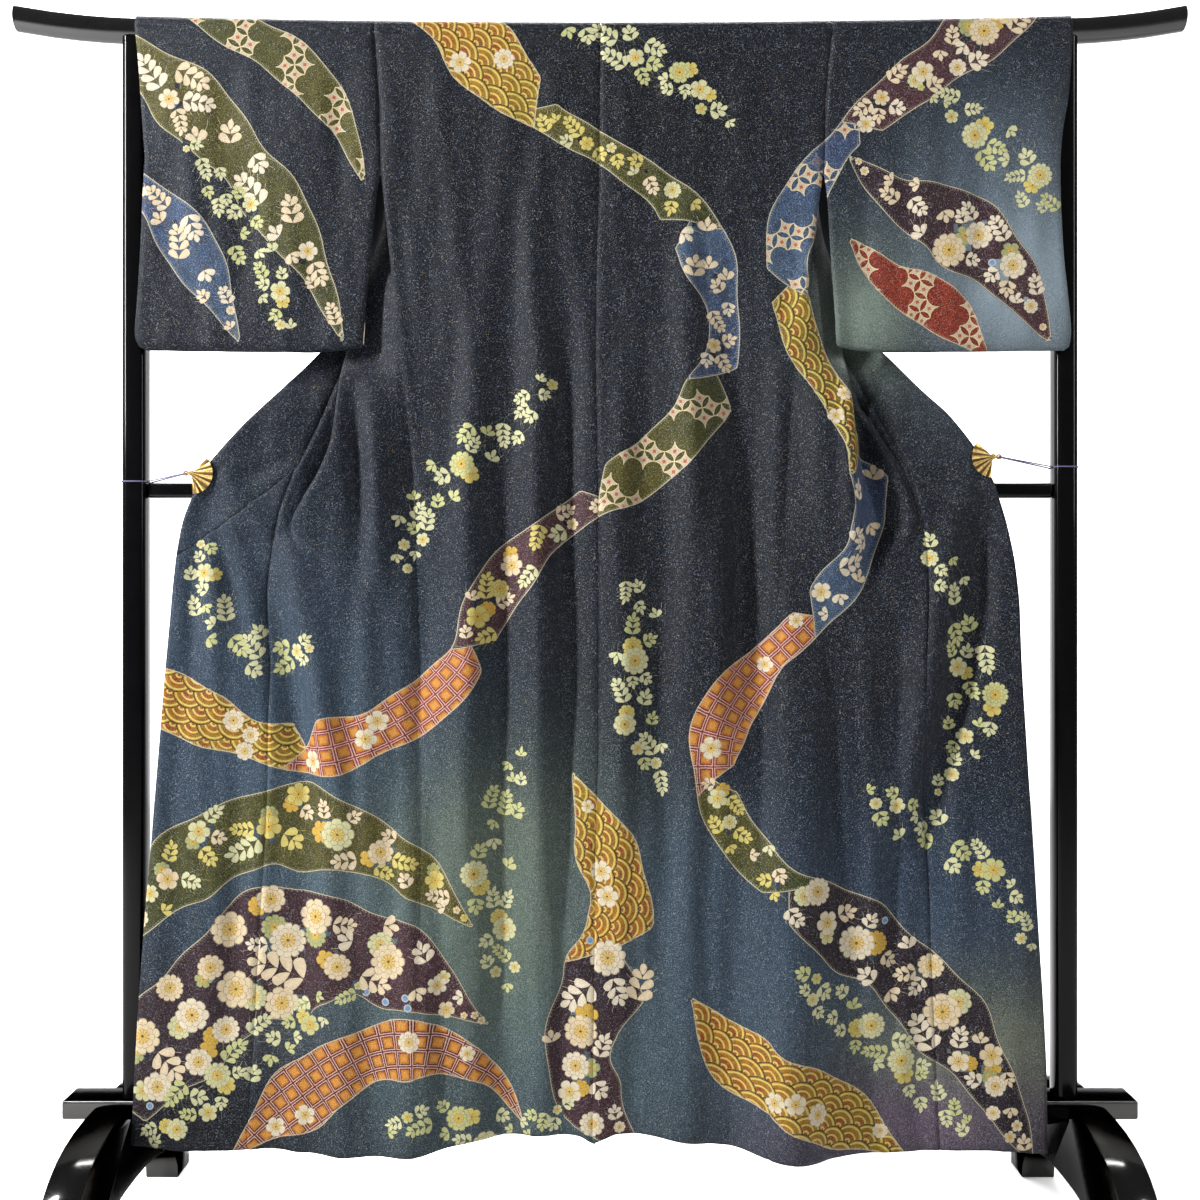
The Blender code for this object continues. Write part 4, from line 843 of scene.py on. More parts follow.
def okumi_patch(side):
    """The overlap panel: rows from the hem to the slanting collar seam, columns from the
    front seam to the outer edge."""
    sign = SIGN[side]
    seam = seam_line(side)[:OKUMI_ROW + 1] * (sign, 1, 1)
    share = np.linspace(0.0, 1.0, 6)
    low, top = seam[0, 2], seam[-1, 2]
    hem_x = seam[0, 0] + (seam_x(OUTER_EDGE[side], 0.12) - seam[0, 0]) * share
    hem = np.interp(sign * hem_x, HEM_X, HEM_Z)
    upper = top + (ERISAKI_Z - top) * share
    z = hem + (upper - hem) * ((seam[:, 2] - low) / (top - low))[:, None]
    inner = seam[:, :1] + SEAM_GAP
    x = inner + (seam_x(OUTER_EDGE[side], z) - inner) * share
    y = sheet_depth(sign * x, z)
    y = y + (seam[:, 1:2] - y) * (1 - share) ** 2
    return np.stack([sign * x, y, z], axis=-1)


def collar_half(side, okumi_top):
    """The collar's seam and its free edge, from the middle of the neck to the pointed end,
    as rows of two points."""
    sign = SIGN[side]
    neck = np.array([[(x, CLOTH_RADIUS, z), (edge, depth, edge_z)]
                     for x, z, edge, edge_z, depth in NECK_ROWS])
    rows = np.arange(NECK_TURN[-1][0] - 1, OKUMI_ROW - 1, -1)
    seam = seam_line(side) * (sign, 1, 1)
    named = section(side, seam[rows, 2])
    edge = np.concatenate([[(x, y, z) for _, x, z, y in NECK_TURN],
                           np.stack([named[14], named[15], seam[rows, 2]], axis=-1)])
    seam = seam[np.concatenate([[row for row, *_ in NECK_TURN], rows])]
    away = edge - seam
    seam = seam + away / np.linalg.norm(away, axis=-1, keepdims=True) * SEAM_GAP * 1.8
    share = np.arange(1, COLLAR_TAPER + 1) / COLLAR_TAPER
    place = COLLAR_POINT * share * (len(okumi_top) - 1)
    line = np.stack([np.interp(place, np.arange(len(okumi_top)), okumi_top[:, c])
                     for c in range(3)], axis=-1) * (sign, 1, 1)
    line[:, 2] += SEAM_GAP * 3
    z = edge[-1, 2] + (ERISAKI_Z + 0.003 - edge[-1, 2]) * share
    x = seam_x(OUTER_EDGE[side], z)
    y = sheet_depth(sign * x, z)
    y = y + (CLIP_MIDDLE_Y - y) * smooth((z - 1.02) / 0.06)
    taper = np.stack([line, np.stack([x, y, z], axis=-1)], axis=1)
    return np.concatenate([neck, np.stack([seam, edge], axis=1), taper]) * (sign, 1, 1)


def sleeve_patches(side):
    """The back layer, the turn over the rod, the front layer and the closed part of the
    wrist edge of a sleeve, as fine grids."""
    sign = SIGN[side]
    u = np.linspace(0.0, 1.0, SLEEVE_COLUMNS + 1)
    low = np.interp(u, SLEEVE_BOTTOM_U, SLEEVE_BOTTOM_Z)

    def value(table, z):
        return along(z, SLEEVE_Z, table)

    inner, outer = (value(table[side], low) for table in (SLEEVE_INNER, SLEEVE_OUTER))
    middle_y = (value(SLEEVE_BACK_Y, low) + value(SLEEVE_FRONT_Y_INNER, low)) / 2
    fold = np.stack([inner + (outer - inner) * u, middle_y, low], axis=-1)[None]
    rise = np.array(SLEEVE_LEVELS)[:, None]
    fade = (SLEEVE_BOTTOM_Z[-1] - low) * smooth((1.40 - rise) / 0.1)
    upper = LEVEL[ARMHOLE_ROW:]
    layers = []
    for layer, table, inner_y, outer_y in (
            ("back", SLEEVE_OUTER, SLEEVE_BACK_Y, SLEEVE_BACK_Y),
            ("front", SLEEVE_FRONT_OUTER, SLEEVE_FRONT_Y_INNER, SLEEVE_FRONT_Y_OUTER)):

        def armhole(z):
            if layer == "front":
                x, y = front_place(side, np.array([0]), z)
                return x + SEAM_GAP * 3.5, y
            x = seam_x(SIDE_SEAM[side], z)
            return x + SEAM_GAP, sheet_depth(sign * x, z)

        seam = settled(armhole, sign, upper)[:, 0] * (sign, 1, 1)
        if layer == "front":
            seam[-1, 0] = seam_x(SIDE_SEAM[side], seam[-1, 2]) + SEAM_GAP * 3.5
        z = np.concatenate([rise - fade, seam[:, 2:] + 0 * u])
        start = np.concatenate([value(SLEEVE_INNER[side], z[:len(rise)]),
                                seam[:, :1] + 0 * u])
        if layer == "front":
            start[:len(rise)] += (FAR_EDGE_BACK * smooth((rise - 1.31) / 0.05)
                                  - FAR_EDGE_IN * smooth((rise - 1.42) / 0.06))
        start_y = np.concatenate([value(inner_y, z[:len(rise)]), seam[:, 1:2] + 0 * u])
        x = start + (value(table[side], z) - start) * u
        y = start_y + (value(outer_y, z) - start_y) * u
        z = z + (rod_height(x) - rod_height(start)) * smooth((z - 1.50) / 0.25)
        last = start[-1] + (value(table[side], np.full(1, ROD_CENTRE_Z + 0.01))
                            - start[-1]) * u
        x[-1], z[-1] = last, rod_height(last)
        y[-1] = -CLOTH_RADIUS if layer == "back" else CLOTH_RADIUS
        layers.append(np.concatenate([fold, np.stack([x, y, z], axis=-1)]) * (sign, 1, 1))
    steps = np.diff([1.286, *SLEEVE_LEVELS, *upper])
    rows = places([max(1, round(step / 0.0066)) for step in steps])
    columns = places([6] * SLEEVE_COLUMNS)
    back, front = (refined(layer, rows, columns) for layer in layers)
    front[0] = back[0]
    back = sewn(creased(back), sign, first=True)
    front = creased(front)
    front[0] = back[0]
    back[-1, :, 1] = -CLOTH_RADIUS
    arc = over_rod(back[-1, :, 0])
    front[-1] = arc[-1]
    cuff = sum(rows <= CUFF_LEVEL + 1)
    ends = back[:cuff, -1], front[:cuff, -1]
    round_out = (ends[0] + ends[1]) / 2 + (sign * EDGE_ROUND, 0, 0)
    lap = [ends[0] * 0.5 + round_out * 0.5 + (sign * EDGE_ROUND * 0.35, 0, 0),
           ends[1] * 0.5 + round_out * 0.5 + (sign * EDGE_ROUND * 0.35, 0, 0)]
    edge = np.stack([ends[0], lap[0], round_out, lap[1], ends[1]], axis=1)
    edge[0] = ends[0][0] + np.array([(0, -0.0003, 0), (sign * 0.0003, -0.0002, 0),
                                     (sign * 0.0005, 0, 0), (sign * 0.0003, 0.0002, 0),
                                     (0, 0.0003, 0)])
    return back, arc, front, edge


# ---- The dyed pattern: rivers of colour with waves, linked rings and flowers
#
# Paste-resist dyeing on crepe, laid out over the whole garment before it is sewn. Broad
# rivers wander down from both shoulders to the sides, low hills rise over the hem, and each
# is cut into lengths of another ground; flowers and leafy sprays fill them and drift beside
# them, and the cloth's own ground changes softly from navy to blue, green and grey. All are
# ordinary traditional figures, in a generic layout that belongs to no maker.

# Middle lines in centimetres: x, height, half width at a few points along each.
RIVERS = {
    "long_river": (
        (-24, 182, 6), (-17, 172, 5), (-8, 163, 3), (2, 157, 2), (11, 150, 3.5),
        (16, 141, 3.5), (18, 131, 2.5), (15, 121, 3.5), (8, 113, 4), (-1, 107, 2.5),
        (-10, 100, 3), (-16, 92, 3.5), (-20, 83, 3), (-28, 76, 3.5), (-37, 72, 4),
        (-47, 72, 3), (-57, 76, 4), (-68, 82, 3)),
    "side_river": (
        (62, 182, 4), (52, 173, 4.5), (43, 166, 3), (36, 160, 2.5), (30, 152, 3),
        (27, 142, 3.5), (29, 131, 2.5), (34, 121, 2.5), (38, 111, 3.5), (37, 100, 3.5),
        (31, 91, 2.5), (23, 83, 3), (17, 74, 4), (17, 64, 3), (23, 55, 3), (32, 48, 4.5),
        (42, 41, 5.5), (51, 31, 5), (57, 22, 3.5), (62, 12, 0.2)),
    "hem_river": ((-4, 68, 0.2), (0, 59, 3.5), (3, 49, 5), (1, 39, 5.5), (-3, 30, 5.5),
                  (-1, 21, 4), (7, 12, 0.2)),
    "plum_hill": ((-68, 20, 4), (-60, 31, 7), (-50, 40, 9), (-39, 43, 8), (-28, 40, 5.5),
                  (-16, 32, 0.2)),
    "check_hill": ((-53, 13, 0.2), (-45, 20, 4), (-35, 27, 4.5), (-25, 29, 3.5),
                   (-16, 25, 2), (-11, 18, 0.2)),
    "olive_hill": ((-68, 46, 3), (-59, 55, 5), (-48, 60, 6), (-37, 59, 5), (-27, 54, 3.5),
                   (-18, 46, 0.2)),
    "gold_tail": ((13, 36, 0.2), (19, 28, 4), (28, 23, 5), (37, 18, 3.5), (45, 12, 0.2)),
    "left_slope": ((-70, 173, 3), (-62, 167, 4.5), (-54, 159, 4.5), (-47, 150, 4),
                   (-41, 140, 2.5), (-37, 130, 0.2)),
    "left_ridge": ((-62, 184, 3), (-53, 176, 3.5), (-45, 171, 3), (-38, 163, 2.5),
                   (-34, 153, 0.2)),
    "left_brook": ((-70, 155, 2), (-63, 149, 3), (-57, 140, 3.5), (-52, 130, 0.2)),
    "right_slope": ((36, 157, 0.2), (43, 151, 3.5), (51, 147, 5), (59, 140, 4.5),
                    (65, 130, 0.2)),
    "right_ridge": ((36, 145, 0.2), (42, 139, 3), (49, 135, 3.5), (56, 128, 0.5)),
}
DRIFTS = {
    "collar": ((-4, 178, 3.5), (5, 172, 3.5), (14, 166, 2.5), (20, 161, 1)),
    "back": ((-6, 126, 1), (-12, 119, 3), (-20, 113, 3.5), (-26, 105, 3), (-29, 96, 1)),
    "left side": ((-40, 88, 1), (-46, 84, 3), (-53, 88, 3.5), (-57, 96, 2.5), (-56, 104, 1)),
    "hip": ((2, 98, 1), (6, 90, 3), (5, 81, 3.5), (7, 72, 2.5), (10, 64, 1)),
    "right side": ((46, 104, 1), (50, 95, 3), (54, 85, 3.5), (53, 74, 3), (49, 64, 1)),
    "right hem": ((27, 42, 1), (34, 35, 3), (42, 28, 3.5), (50, 19, 2.5), (54, 14, 1)),
    "right middle": ((36, 66, 1), (43, 62, 3), (51, 57, 3.5), (58, 50, 2.5), (63, 42, 1)),
    "thigh": ((-11, 72, 1), (-14, 63, 3), (-16, 54, 3.5), (-15, 44, 3), (-13, 36, 1)),
    "left hem": ((-66, 14, 1.5), (-58, 21, 3.5), (-50, 28, 3.5), (-41, 34, 2.5),
                 (-34, 37, 1)),
    "middle hem": ((-31, 18, 1), (-23, 19, 3), (-15, 17, 3), (-8, 18, 2), (-3, 22, 1)),
    "right sleeve": ((46, 167, 1), (54, 162, 3), (60, 156, 3.5), (65, 148, 2)),
    "left sleeve": ((-60, 160, 1), (-52, 148, 3), (-48, 139, 3), (-45, 131, 1)),
}

CREAM = dyed(228, 208, 174)
IVORY = dyed(232, 218, 192)
PALE = dyed(214, 212, 166)
LEAF_GREEN = dyed(200, 200, 140)
LEMON = dyed(216, 200, 116)
BUTTER = dyed(212, 170, 72)
SAGE = dyed(168, 172, 120)
FLOWER_SHADE = dyed(176, 160, 92)
PLUM = dyed(88, 52, 58)
DEEP_PLUM = dyed(46, 32, 42)
OLIVE = dyed(106, 98, 32)
MOSS = dyed(74, 78, 34)
HONEY = dyed(168, 138, 40)
OCHRE = dyed(188, 122, 30)
RUST = dyed(158, 58, 34)
CORAL = dyed(150, 62, 60)
MAROON = dyed(112, 50, 40)
SLATE = dyed(66, 84, 122)
STEEL = dyed(80, 104, 132)
EDGE_LINE = dyed(196, 188, 160)

# What a length of river is filled with.
PLAIN, WAVES, RINGS, CHECK = 1, 2, 3, 4
SPRAY = 6
DOT = 8
DOT_RADIUS = 0.0058
SPRAY_PITCH = 0.80       # between pairs of leaves, in half widths
END_LEAF = 1.05          # length of a spray's last leaf, in half widths
FLOWER = 10              # plus the number of petals

# What grows on a length: heads as (share of the half width, most radius, number per square
# metre), sprays as (share of the half width, least and most half width, tries), dots per
# square metre, colours of heads and sprays, of the smaller heads behind, and outline.
PLANTS = {
    "leafy": {"heads": ((0.50, 0.016, 50),), "sprays": (0.50, 0.0130, 0.0200, 700),
              "dots": 0, "tones": (CREAM, IVORY), "behind": (), "dark": dyed(84, 74, 52),
              "loose": 0.9},
    "blooms": {"heads": ((0.50, 0.028, 130), (0.40, 0.021, 110)),
               "sprays": (0.36, 0.0140, 0.0280, 1100), "dots": 60,
               "tones": (CREAM, IVORY), "behind": (BUTTER, SAGE, PALE),
               "dark": dyed(58, 40, 40), "loose": 0.9},
    "gold": {"heads": ((0.50, 0.026, 110), (0.40, 0.018, 90)),
             "sprays": (0.40, 0.0125, 0.0200, 800), "dots": 0,
             "tones": (LEMON, CREAM, PALE), "behind": (BUTTER, SAGE),
             "dark": dyed(92, 74, 34), "loose": 0.9},
    "drift": {"heads": ((0.62, 0.0205, 120), (0.46, 0.015, 110)),
              "sprays": (0.42, 0.0115, 0.0160, 1000), "dots": 0,
              "tones": (PALE, LEAF_GREEN, PALE), "behind": (LEMON,),
              "dark": dyed(92, 104, 74), "loose": 0.35},
    "sparse": {"heads": ((0.50, 0.017, 150),), "sprays": (0.3, 0.009, 0.01, 0), "dots": 0,
               "tones": (IVORY,), "behind": (), "dark": dyed(96, 84, 60), "loose": 0.6},
}
LENGTHS = {
    # river: (from, to in shares, filled with, ground at start, ground at end, plants)
    "long_river": (
        (0.00, 0.125, WAVES, OCHRE, HONEY, "sparse"), (0.125, 0.275, PLAIN, OLIVE, MOSS, "gold"),
        (0.275, 0.400, PLAIN, STEEL, SLATE, "leafy"),
        (0.400, 0.535, RINGS, MOSS, OLIVE, None), (0.535, 0.690, PLAIN, PLUM, PLUM, "gold"),
        (0.690, 0.850, CHECK, CORAL, CORAL, "sparse"),
        (0.850, 1.00, WAVES, HONEY, OCHRE, "sparse")),
    "side_river": (
        (0.00, 0.150, PLAIN, PLUM, PLUM, "blooms"), (0.150, 0.275, RINGS, SLATE, STEEL, None),
        (0.275, 0.400, WAVES, HONEY, OLIVE, "sparse"),
        (0.400, 0.520, PLAIN, SLATE, STEEL, "leafy"),
        (0.520, 0.655, CHECK, CORAL, CORAL, "sparse"),
        (0.655, 0.745, PLAIN, OLIVE, MOSS, "gold"),
        (0.745, 1.00, PLAIN, DEEP_PLUM, DEEP_PLUM, "blooms")),
    "hem_river": ((0.0, 0.42, WAVES, HONEY, OCHRE, "sparse"),
                  (0.42, 1.0, PLAIN, DEEP_PLUM, PLUM, "blooms")),
    "gold_tail": ((0.0, 1.0, WAVES, OCHRE, HONEY, "sparse"),),
    "plum_hill": ((0.0, 1.0, PLAIN, DEEP_PLUM, PLUM, "blooms"),),
    "check_hill": ((0.0, 1.0, CHECK, MAROON, MAROON, "sparse"),),
    "olive_hill": ((0.0, 1.0, PLAIN, MOSS, OLIVE, "gold"),),
    "left_ridge": ((0.0, 1.0, RINGS, MOSS, OLIVE, None),),
    "left_slope": ((0.0, 1.0, PLAIN, OLIVE, MOSS, "leafy"),),
    "left_brook": ((0.0, 1.0, PLAIN, SLATE, STEEL, "leafy"),),
    "right_slope": ((0.0, 1.0, PLAIN, DEEP_PLUM, PLUM, "blooms"),),
    "right_ridge": ((0.0, 1.0, RINGS, RUST, RUST, None),),
}
# Soft patches of another ground colour: middle x, z, half width, half height, how strong.
GROUND = dyed(36, 42, 55)
GROUND_DEPTH = 0.60
CLOUDS = (
    (0.00, 1.72, 0.50, 0.16, 0.20, dyed(50, 56, 68)),
    (0.02, 1.66, 0.32, 0.20, 0.70, dyed(14, 18, 27)),
    (0.20, 1.00, 0.30, 0.34, 0.40, dyed(31, 35, 44)),
    (-0.46, 0.66, 0.24, 0.30, 0.80, dyed(92, 118, 144)),
    (-0.60, 0.92, 0.12, 0.16, 0.60, dyed(81, 104, 129)),
    (-0.30, 0.40, 0.20, 0.26, 0.75, dyed(113, 144, 154)),
    (-0.16, 0.58, 0.16, 0.10, 0.60, dyed(133, 147, 129)),
    (-0.10, 0.42, 0.18, 0.22, 0.80, dyed(144, 162, 137)),
    (0.02, 0.26, 0.20, 0.14, 0.70, dyed(110, 137, 150)),
    (0.10, 0.50, 0.16, 0.16, 0.60, dyed(92, 118, 142)),
    (0.28, 0.34, 0.22, 0.16, 0.65, dyed(92, 115, 137)),
    (0.46, 0.46, 0.22, 0.18, 0.62, dyed(79, 104, 133)),
    (0.54, 0.28, 0.16, 0.10, 0.85, dyed(160, 168, 144)),
    (0.46, 0.18, 0.20, 0.07, 0.80, dyed(144, 122, 146)),
    (-0.10, 0.20, 0.30, 0.06, 0.30, dyed(92, 110, 121)),
    (-0.60, 0.20, 0.20, 0.14, 0.88, dyed(30, 28, 36)),
    (-0.54, 0.32, 0.16, 0.06, 0.50, dyed(95, 84, 90)),
    (0.44, 1.44, 0.10, 0.12, 0.60, dyed(86, 106, 120)),
    (0.60, 1.40, 0.12, 0.16, 0.92, dyed(194, 215, 228)),
    (0.56, 1.56, 0.10, 0.12, 0.60, dyed(111, 131, 151)),
    (0.38, 1.34, 0.07, 0.09, 0.88, dyed(165, 185, 169)),
    (-0.60, 1.62, 0.12, 0.12, 0.25, dyed(68, 86, 99)),
)


def line_of(table, swell=0.0):
    """A river's or spray's middle line at small steps: x, z, half width and the distance
    along it, with the unit direction at each step. A swell makes the width rise and fall as
    two waves of the distance."""
    rows = through(np.array(table, float), places([24] * (len(table) - 1)))
    step = np.linalg.norm(np.diff(rows[:, :2], axis=0), axis=1)
    s = np.concatenate([[0.0], np.cumsum(step)])
    toward = np.gradient(rows[:, :2], axis=0)
    toward /= np.linalg.norm(toward, axis=1, keepdims=True)
    wave = 1.0 + swell * (0.13 * np.sin(s * 31.0 + rows[0, 0] * 40) + 0.05 * np.sin(s * 67.0))
    return {"at": rows[:, :2], "half": np.maximum(rows[:, 2] * wave, 0.0005), "s": s,
            "toward": toward}


def beside(line, q):
    """Distance along a line, distance to its left and its half width there, for points q:
    those of the nearest step, corrected by the point's offset along the line."""
    apart = ((q[:, None, :] - line["at"][None]) ** 2).sum(axis=-1)
    i = apart.argmin(axis=1)
    off = q - line["at"][i]
    ahead = (off * line["toward"][i]).sum(axis=1)
    left = off[:, 1] * line["toward"][i, 0] - off[:, 0] * line["toward"][i, 1]
    s = line["s"][i] + ahead
    return s, left, np.interp(s, line["s"], line["half"])


class Stamp:
    """One dyed figure: its kind and colours, the box that holds it, and place(q), which
    gives its own two coordinates and how far inside it each point is."""

    def __init__(self, kind, tone, second, low, high, place):
        self.kind = kind
        self.tone = tone
        self.second = second
        self.low = np.array(low)
        self.high = np.array(high)
        self.place = place


def river(line, share, kind, start, end, slant):
    """A length of a river between two shares of its line, its ends cut on a slant."""
    total = line["s"][-1]
    s0, s1 = share[0] * total, share[1] * total

    def place(q):
        s, v, half = beside(line, q)
        inside = np.minimum(half - np.abs(v), np.minimum(s, total - s) + 0.0004)
        if share[0] > 0:
            inside = np.minimum(inside, (s - s0 - slant * v) * 0.8)
        if share[1] < 1:
            inside = np.minimum(inside, (s1 - s + slant * v) * 0.8 + 0.05 * half)
        return s, v, inside, np.clip((s - s0) / (s1 - s0), 0, 1)

    near = (line["s"] > s0 - 0.08) & (line["s"] < s1 + 0.08)
    margin = line["half"].max() + 0.004
    return Stamp(kind, (start, end), EDGE_LINE, line["at"][near].min(axis=0) - margin,
                 line["at"][near].max(axis=0) + margin, place)


def disc(kind, middle, radius, turn, tone, second):
    """A flower head or dot: its own coordinates are the offset from its middle in radii,
    turned by turn."""
    c, s = math.cos(turn), math.sin(turn)
    middle = np.array(middle)

    def place(q):
        d = (q - middle) / radius
        a = d[:, 0] * c + d[:, 1] * s
        b = d[:, 1] * c - d[:, 0] * s
        return a, b, (1.06 - np.hypot(a, b)) * radius, np.zeros(len(q))

    return Stamp(kind, (tone, tone), second, middle - radius * 1.1, middle + radius * 1.1,
                 place)


def spray(start, turn, bend, pairs, half, tone, second):
    """A leafy spray: a bent stem with pairs of leaves that grow smaller towards the tip and
    one leaf at the end. Along it, a is the distance measured in half widths, so that the
    leaves keep their shape. The kind's decimals hold the number of pairs."""
    grown = np.linspace(0.0, pairs * SPRAY_PITCH + END_LEAF, 41)
    t = grown / grown[-1]
    width = half * (1.0 - 0.40 * t)
    heading = turn + bend * t
    toward = np.stack([np.cos(heading), np.sin(heading)], axis=1)
    s = np.concatenate([[0.0], np.cumsum(width[:-1] * np.diff(grown))])
    at = np.array(start) + np.concatenate([[(0, 0)],
                                           np.cumsum(toward[:-1] * np.diff(s)[:, None], axis=0)])
    line = {"at": at, "half": width, "s": s, "toward": toward}

    def place(q):
        s, v, half = beside(line, q)
        inside = np.minimum(half * 1.1 - np.abs(v), np.minimum(s, line["s"][-1] - s) + 0.001)
        a = np.interp(s, line["s"], grown)
        return a, v / half, inside, np.zeros(len(q))

    return Stamp(SPRAY + pairs / 100.0, (tone, tone), second, at.min(axis=0) - half * 1.2,
                 at.max(axis=0) + half * 1.2, place), at[::8]


def scattered(line, s0, s1, plants, seed):
    """Flower heads, then sprays and dots, thrown along a stretch of a line. Large heads
    have a smaller one behind, and half of the sprays start beside a head and point away
    from it. Each is kept where it fits in the width and clears the circles that the others
    take."""
    draw = np.random.default_rng(seed)
    taken, stamps = [], []
    share_loose = plants["loose"]
    on = (line["s"] >= s0) & (line["s"] <= s1)
    area = 2.0 * line["half"][on].mean() * (s1 - s0)

    def free(points, radius, tight):
        s, v, half = beside(line, points)
        if (np.abs(v) > half + 0.001 - radius * share_loose).any():
            return False
        if s.min() < s0 + radius * 0.3 or s.max() > s1 - radius * 0.3:
            return False
        return all(np.hypot(*(points - middle).T).min() > (radius + other) * tight
                   for middle, other in taken)

    def thrown(share, least, most):
        s = draw.uniform(s0, s1)
        i = int(np.abs(line["s"] - s).argmin())
        tx, tz = line["toward"][i]
        half = line["half"][i]
        aside = draw.uniform(-0.9, 0.9) * half
        size = np.clip(half * share, least, most) * draw.uniform(0.88, 1.0)
        return line["at"][i] + aside * np.array((-tz, tx)), math.atan2(tz, tx), size

    def one_of(tones):
        return tones[int(draw.integers(len(tones)))]

    def way(turn):
        return np.array((math.cos(turn), math.sin(turn)))

    def head(middle, radius, tone):
        petals = int(draw.choice([8, 10, 12] if radius > 0.018 else [5, 5, 6, 8]))
        taken.append((middle, radius))
        stamps.append(disc(FLOWER + petals, middle, radius, draw.uniform(0, 6.28), tone,
                           FLOWER_SHADE))

    for share, most, number in plants["heads"]:
        left = round(number * area)
        for _ in range(left * 8):
            middle, _, radius = thrown(share, 0.006, most)
            if left == 0:
                break
            if free(middle[None], radius, 0.92):
                head(middle, radius, one_of(plants["tones"]))
                left -= 1
                beyond = middle + radius * 1.0 * way(draw.uniform(0, 6.28))
                if (plants["behind"] and radius > 0.014
                        and free(beyond[None], radius * 0.72, 0.5)):
                    head(beyond, radius * 0.72, one_of(plants["behind"]))
    heads = list(taken)
    share, least, most, tries = plants["sprays"]
    for _ in range(tries):
        start, turn, wide = thrown(share, least, most)
        if heads and draw.random() < 0.5:
            middle, radius = heads[int(draw.integers(len(heads)))]
            turn = draw.uniform(-math.pi, math.pi)
            start = middle + radius * 0.9 * way(turn)
        else:
            turn += draw.choice([0.0, math.pi]) + draw.uniform(-0.75, 0.75)
        pairs = int(draw.integers(1, 5))
        bend = draw.uniform(-0.8, 0.8)
        if not free((start + wide * way(turn + bend * 0.3))[None], wide * 0.62, 0.85):
            continue
        stamp, stem = spray(start, turn, bend, pairs, wide, one_of(plants["tones"]),
                            plants["dark"])
        if free(stem[1:], wide * 0.62, 0.85):
            taken += [(point, wide * (0.74 - 0.06 * n)) for n, point in enumerate(stem)]
            stamps.append(stamp)
    for _ in range(round(plants["dots"] * area) * 8):
        middle, _, _ = thrown(0.1, DOT_RADIUS, DOT_RADIUS)
        if free(middle[None], DOT_RADIUS, 1.0):
            taken.append((middle, DOT_RADIUS))
            stamps.append(disc(DOT, middle, DOT_RADIUS, 0.0, dyed(118, 150, 184),
                               dyed(176, 186, 190)))
    return stamps


def metres(table):
    return np.array(table, float) / 100.0


RIVER_LINES = {name: line_of(metres(table), 1.0) for name, table in RIVERS.items()}
STAMPS = []
for number, table in enumerate(DRIFTS.values()):
    drift = line_of(metres(table))
    STAMPS += scattered(drift, 0.0, drift["s"][-1], PLANTS["drift"], 40 + number)
flowers, grounds = [], []
for name, lengths in LENGTHS.items():
    line = RIVER_LINES[name]
    total = line["s"][-1]
    for number, (first, last, kind, start, end, plants) in enumerate(lengths):
        if plants:
            flowers += scattered(line, first * total, last * total, PLANTS[plants],
                                 7 * len(flowers) + 3)
        slant = 0.9 if number % 2 else -0.7
        grounds.append(river(line, (first, last), kind, start, end, slant))
STAMPS += flowers + grounds
LAYERS = 3


def ground_colour(q):
    """The cloth's own ground at points q: navy, with each cloud mixed in by a bell curve."""
    colour = np.tile(GROUND, (len(q), 1))
    for x, z, wide, high, strong, tone in CLOUDS:
        share = strong * np.exp(-((q[:, 0] - x) / wide) ** 2 - ((q[:, 1] - z) / high) ** 2)
        colour += (np.array(tone) - colour) * share[:, None]
    return colour * GROUND_DEPTH


def paint(mesh, corners):
    """Writes the pattern to a mesh whose faces' corners lie at these places on the layout
    (faces x 4 x 2). Each face keeps the three topmost stamps that reach it: each stamp's
    coordinates at every corner, its kind and its two colours. Gives how many each keeps."""
    count = len(corners)
    place = np.full((LAYERS, count, 4, 3), (0.0, 0.0, -1.0), np.float32)
    kind = np.zeros((LAYERS, count), np.float32)
    tone = np.zeros((LAYERS, count, 4, 3), np.float32)
    second = np.zeros((LAYERS, count, 3), np.float32)
    taken = np.zeros(count, int)
    low, high = corners.min(axis=1), corners.max(axis=1)
    for stamp in STAMPS:
        near = ((high > stamp.low).all(axis=1) & (low < stamp.high).all(axis=1)
                & (taken < LAYERS)).nonzero()[0]
        if not len(near):
            continue
        a, b, inside, share = (value.reshape(-1, 4)
                               for value in stamp.place(corners[near].reshape(-1, 2)))
        reach = inside.max(axis=1) > -0.001
        near, a, b, inside, share = near[reach], a[reach], b[reach], inside[reach], share[reach]
        layer = taken[near]
        place[layer, near] = np.stack([a, b, inside], axis=-1)
        kind[layer, near] = stamp.kind
        start, end = (np.array(colour) for colour in stamp.tone)
        tone[layer, near] = start + (end - start) * share[..., None]
        second[layer, near] = stamp.second
        full = (stamp.kind < SPRAY) & (inside.min(axis=1) > 0.002)
        taken[near] = np.where(full, LAYERS, layer + 1)
    ground = ground_colour(corners.reshape(-1, 2))

    def keep(name, kind_of, domain, field, values):
        made = mesh.attributes.new(name, kind_of, domain)
        made.data.foreach_set(field, np.ascontiguousarray(values, np.float32).ravel())

    def with_one(colours):
        return np.concatenate([colours, np.ones((*colours.shape[:-1], 1))], axis=-1)

    keep("ground", "FLOAT_COLOR", "CORNER", "color", with_one(ground))
    for n in range(LAYERS):
        keep(f"place_{n}", "FLOAT_VECTOR", "CORNER", "vector", place[n])
        keep(f"kind_{n}", "FLOAT", "FACE", "value", kind[n])
        keep(f"tone_{n}", "FLOAT_COLOR", "CORNER", "color", with_one(tone[n]))
        keep(f"second_{n}", "FLOAT_COLOR", "FACE", "color", with_one(second[n]))
    return (kind > 0).sum(axis=0)


WAVE_RADIUS = 0.0260
RING_PITCH = 0.0205
CHECK_PITCH = 0.0225
STROKE_PITCH = 0.0034
LEAF_TURN = math.radians(52.0)       # between a leaf and its stem
LEAF_LONG = 1.20


